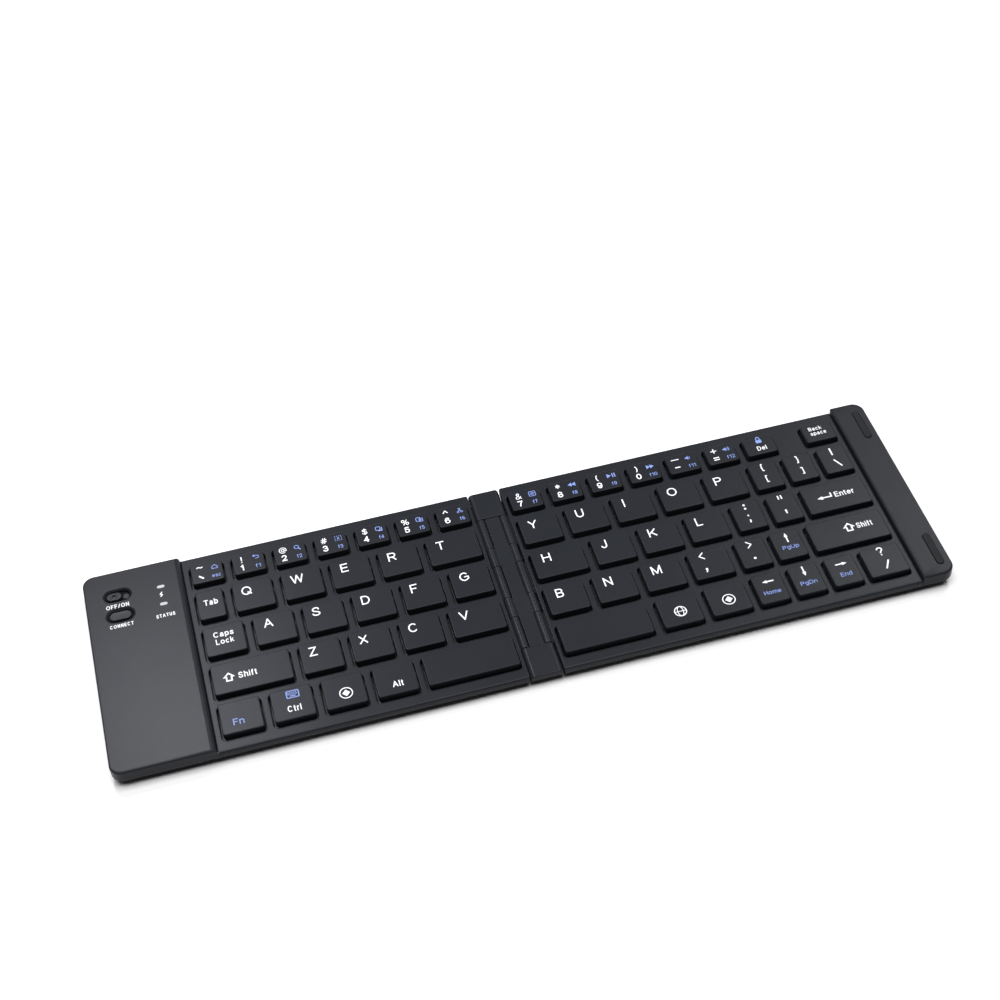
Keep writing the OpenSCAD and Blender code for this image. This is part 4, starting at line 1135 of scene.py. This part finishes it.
# number row: sign, number, blue icon, blue word
NUMBERS = [
    ("keys_numbers_left", 0, "~", "`", "home", "esc"), ("keys_numbers_left", 1, "!", "1", "back", "f1"),
    ("keys_numbers_left", 2, "@", "2", "find", "f2"), ("keys_numbers_left", 3, "#", "3", "mark", "f3"),
    ("keys_numbers_left", 4, "$", "4", "copy", "f4"), ("keys_numbers_left", 5, "%", "5", "paste", "f5"),
    ("keys_numbers_left", 6, "^", "6", "cut", "f6"), ("keys_numbers_right", 0, "&", "7", "screen", "f7"),
    ("keys_numbers_right", 1, "*", "8", "prev", "f8"), ("keys_numbers_right", 2, "(", "9", "play", "f9"),
    ("keys_numbers_right", 3, ")", "0", "next", "f10"), ("keys_numbers_right", 4, "_", "-", "quiet", "f11"),
    ("keys_numbers_right", 5, "+", "=", "loud", "f12"),
]
SIGN = {"~": (2.4, 0.85, 0.85), "!": (0.55, 2.7, 0), "@": (2.7, 2.7, 0), "#": (2.1, 2.6, 0), "$": (1.9, 2.9, 0), "%": (2.6, 2.6, 0),
        "^": (1.9, 1.5, 0.55), "&": (2.2, 2.8, 0), "*": (1.9, 1.9, 0.35), "(": (0.9, 2.9, 0), ")": (0.9, 2.9, 0),
        "_": (2.9, 0.5, 0.2), "+": (2.2, 2.2, 0.1)}
for node, i, sign, num, ic, word in NUMBERS:
    x, y = corner(node, i)
    w, h, up = SIGN[sign]
    glyph(white[node], sign, x + 3.3, y + 6.2 + up, h, w, KEY_TOP, {"@": 0.25, "&": 0.3, "%": 0.3, "#": 0.3, "$": 0.3}.get(sign, 0.36))
    if num == "`":
        slab(white[node], line([(-0.75, 0.7), (0.75, -0.7)], 0.6)[0], [], x + 3.35, y + 2.5, KEY_TOP)
    elif num == "-":
        slab(white[node], rect(-1.0, 1.0, -0.23, 0.23), [], x + 3.25, y + 2.65, KEY_TOP)
    elif num == "=":
        for dy in (-0.5, 0.5):
            slab(white[node], rect(-1.05, 1.05, dy - 0.23, dy + 0.23), [], x + 3.25, y + 2.5, KEY_TOP)
    else:
        glyph(white[node], num, x + (3.0 if num == "1" else 3.25), y + 2.6, 2.65, 1.1 if num == "1" else 1.85, KEY_TOP, 0.42)
    put_icon(blue[node], ic, x + 8.4, y + 6.1)
    w = {"esc": 3.0, "f10": 2.8, "f11": 2.5, "f12": 2.9}.get(word, 1.75)
    write(blue[node], word, x + 8.55 - w / 2, y + 1.4, 1.6, w, KEY_TOP, 0.2)


def words(node, i, *items):
    """(colour, text, left, baseline, cap height, width) for each item, from the front left corner of the key."""
    x, y = corner(node, i)
    for col, text, left, base, cap, width in items:
        write((blue if col == "b" else white)[node], text, x + left, y + base, cap, width, KEY_TOP, (0.13 if col == "b" else 0.142) * cap)


words("key_tab", 0, ("w", "Tab", 2.35, 5.85, 2.4, 4.8))
words("key_caps_lock", 0, ("w", "Caps", 3.3, 7.5, 2.3, 6.8), ("w", "Lock", 3.7, 4.3, 2.3, 6.1))
words("key_shift_left", 0, ("w", "Shift", 8.65, 4.9, 2.45, 6.2))
words("key_fn", 0, ("b", "Fn", 3.95, 3.0, 2.5, 3.6))
words("keys_ctrl_super_alt", 0, ("w", "Ctrl", 4.75, 2.85, 2.45, 4.5))
words("keys_ctrl_super_alt", 2, ("w", "Alt", 5.4, 2.7, 2.45, 3.6))
words("key_delete", 0, ("w", "Del", 4.15, 1.75, 2.05, 3.5))
words("key_backspace", 0, ("w", "Back", 2.6, 5.35, 1.75, 4.9), ("w", "space", 2.6, 3.0, 1.75, 5.9))
words("key_enter", 0, ("w", "Enter", 10.95, 5.4, 2.35, 7.1))
words("key_arrow_up", 0, ("b", "PgUp", 2.45, 4.05, 1.65, 5.8))
words("key_shift_right", 0, ("w", "Shift", 16.9, 5.95, 2.35, 5.7))
words("keys_arrows_side", 0, ("b", "Home", 2.15, 3.45, 1.7, 5.9))
words("keys_arrows_side", 1, ("b", "PgDn", 2.15, 3.75, 1.65, 5.8))
words("keys_arrows_side", 2, ("b", "End", 3.3, 3.5, 1.75, 4.0))

for node, i, name, x, y, col, k in (
    ("key_shift_left", 0, "shift", 5.55, 6.3, "w", 1.0), ("key_shift_right", 0, "shift", 14.25, 7.25, "w", 1.05),
    ("keys_ctrl_super_alt", 0, "keyboard", 7.35, 9.75, "b", 1.0), ("keys_ctrl_super_alt", 1, "super", 7.2, 5.05, "w", 1.0),
    ("keys_globe_menu", 0, "globe", 6.9, 5.4, "w", 1.0), ("keys_globe_menu", 1, "super", 6.9, 5.5, "w", 1.0),
    ("key_enter", 0, "enter", 7.2, 6.55, "w", 1.0), ("key_delete", 0, "lock", 5.85, 6.9, "b", 1.0),
    ("key_arrow_up", 0, "up", 5.3, 9.15, "w", 1.0), ("keys_arrows_side", 0, "left", 5.1, 8.95, "w", 0.97),
    ("keys_arrows_side", 1, "down", 5.1, 9.65, "w", 1.0), ("keys_arrows_side", 2, "right", 5.15, 8.95, "w", 0.97),
):
    cx, cy = corner(node, i)
    put_icon((blue if col == "b" else white)[node], name, cx + x, cy + y, k=k)

for node, i, ch, x, y, h, w in (
    ("keys_brackets", 0, "{", 4.8, 9.9, 3.5, 1.1), ("keys_brackets", 0, "[", 4.8, 4.35, 3.3, 0.85),
    ("keys_brackets", 1, "}", 5.2, 9.9, 3.5, 1.1), ("keys_brackets", 1, "]", 5.15, 4.35, 3.3, 0.85),
    ("keys_hjkl_quote", 4, ";", 4.85, 4.7, 3.7, 0.85), ("keys_hjkl_quote", 5, '"', 4.95, 11.0, 1.75, 1.6),
    ("keys_bnm_stop", 3, "<", 4.65, 9.75, 3.2, 1.9), ("keys_bnm_stop", 4, ">", 4.8, 9.85, 3.2, 1.9),
    ("keys_bnm_stop", 3, ",", 4.55, 3.3, 1.85, 0.95), ("key_slash", 0, "?", 6.9, 10.25, 3.6, 2.2),
):
    cx, cy = corner(node, i)
    glyph(white[node], ch, cx + x, cy + y, h, w, KEY_TOP, 0.4 if ch in "[]{}<>" else 0.46)

for node, i, shape, x, y in (
    ("keys_brackets", 2, rect(-0.27, 0.27, -1.7, 1.7), 4.95, 9.95),
    ("keys_brackets", 2, line([(-0.95, 1.8), (0.95, -1.8)], 0.52)[0], 5.45, 4.2),
    ("key_slash", 0, line([(-0.95, -1.75), (0.95, 1.75)], 0.52)[0], 7.2, 4.25),
    ("keys_hjkl_quote", 4, disc(0, 0, 0.43), 4.95, 11.2), ("keys_hjkl_quote", 4, disc(0, 0, 0.43), 4.95, 9.55),
    ("keys_hjkl_quote", 5, [(-0.3, 0.9), (0.4, 0.9), (0.25, -0.9), (-0.15, -0.9)][::-1], 4.9, 4.05),
    ("keys_bnm_stop", 4, disc(0, 0, 0.46), 4.85, 3.6), ("keys_bnm_stop", 3, disc(0, 0, 0.42), 4.6, 3.75),
):
    cx, cy = corner(node, i)
    slab(white[node], shape, [], cx + x, cy + y, KEY_TOP)

for node in KEYS:
    if white[node].f:
        piece("print_" + node, white[node], node, M_white, weighted=False)
    if blue[node].f:
        piece("print2_" + node, blue[node], node, M_blue, weighted=False)

s = Solid()
write(s, "OFF/ON", -136.15, 25.75, 1.7, 7.8, BLOCK_Z, 0.24, 0.17)
write(s, "CONNECT", -135.85, 16.95, 1.5, 8.0, BLOCK_Z, 0.22, 0.2)
write(s, "STATUS", -120.1, 17.05, 1.5, 6.4, BLOCK_Z, 0.232, 0.18)
put_icon(s, "bolt", -117.15, 27.3, BLOCK_Z)
piece("print_block", s, "left_half", M_white, weighted=False)

# ---------------------------------------------------------------- camera, floor and light
R = Matrix.Rotation(Vector((2.3726, -0.3339, 0.0628)).length, 3, Vector((2.3726, -0.3339, 0.0628)))
m = Matrix((R[0], -R[1], -R[2])).transposed().to_4x4()
m.translation = Vector((-86.415, -398.887, 486.605)) * MM
cam_data = bpy.data.cameras.new("camera")
cam_data.sensor_fit, cam_data.sensor_width, cam_data.lens = "HORIZONTAL", 36.0, 66.53
cam_data.clip_start, cam_data.clip_end = 0.01, 30
cam = bpy.data.objects.new("camera", cam_data)
cam.matrix_world = m
bpy.context.scene.collection.objects.link(cam)
bpy.context.scene.camera = cam

fm = bpy.data.meshes.new("floor")
fm.from_pydata([(x, y, -0.00002) for x, y in ((-4, -4), (4, -4), (4, 4), (-4, 4))], [], [(0, 1, 2, 3)])
floor = bpy.data.objects.new("floor", fm)
bpy.context.scene.collection.objects.link(floor)
mf, nt, bs = nodes_of("floor_white")
f = noise(nt, 3.0, 2.0)
nt.links.new(ramp(nt, f, [(0.3, (0.88, 0.88, 0.885)), (0.7, (0.9, 0.9, 0.9))]), bs.inputs["Base Color"])
bs.inputs["Roughness"].default_value = 0.7
bs.inputs["Specular IOR Level"].default_value = 0.2
fm.materials.append(mf)

# a pale surround far from the object, seen from low angles only; it gives and takes no light
sv, sf = [], []
for r_, z_ in ((0.42, 0.0004), (2.5, 0.0004), (3.1, 0.05), (3.4, 0.4), (3.5, 3.0)):
    sv += [(r_ * cos(2 * math.pi * k / 96), r_ * sin(2 * math.pi * k / 96), z_) for k in range(96)]
for j in range(4):
    sf += [(96 * j + k, 96 * j + (k + 1) % 96, 96 * (j + 1) + (k + 1) % 96, 96 * (j + 1) + k) for k in range(96)]
sm = bpy.data.meshes.new("surround")
sm.from_pydata(sv, [], sf)
surround = bpy.data.objects.new("surround", sm)
bpy.context.scene.collection.objects.link(surround)
ms, nt, bs = nodes_of("surround_white")
bs.inputs["Base Color"].default_value = (0.0, 0.0, 0.0, 1)
bs.inputs["Specular IOR Level"].default_value = 0.0
bs.inputs["Emission Color"].default_value = (1.0, 1.0, 1.0, 1)
bs.inputs["Emission Strength"].default_value = 1.3
sm.materials.append(ms)
for p_ in sm.polygons:
    p_.use_smooth = True
for flag in ("visible_diffuse", "visible_glossy", "visible_transmission", "visible_shadow", "visible_volume_scatter"):
    setattr(surround, flag, False)


def area(name, at_, to, size, power, color=(1, 1, 1)):
    d = bpy.data.lights.new(name, "AREA")
    d.shape, d.size, d.size_y, d.energy, d.color = "RECTANGLE", size[0], size[1], power, color
    o = bpy.data.objects.new(name, d)
    o.location = at_
    o.rotation_euler = (Vector(at_) - Vector(to)).to_track_quat("Z", "Y").to_euler()
    bpy.context.scene.collection.objects.link(o)
    return o


area("softbox_top", (0.0, -0.05, 1.4), (0, 0.05, 0), (1.6, 0.9), 26)
area("softbox_right", (0.46, 0.44, 0.67), (0.14, -0.05, 0), (0.20, 0.22), 2.0)
area("softbox_left", (-0.150, 0.262, 0.43), (-0.125, -0.03, 0), (0.08, 0.15), 1.45, (0.97, 0.97, 1.03))
world = bpy.data.worlds.new("world")
world.use_nodes = True
bg = world.node_tree.nodes["Background"]
bg.inputs["Color"].default_value = (1, 1, 1, 1)
bg.inputs["Strength"].default_value = 0.03
bpy.context.scene.world = world
bpy.context.scene.view_settings.view_transform = "Standard"
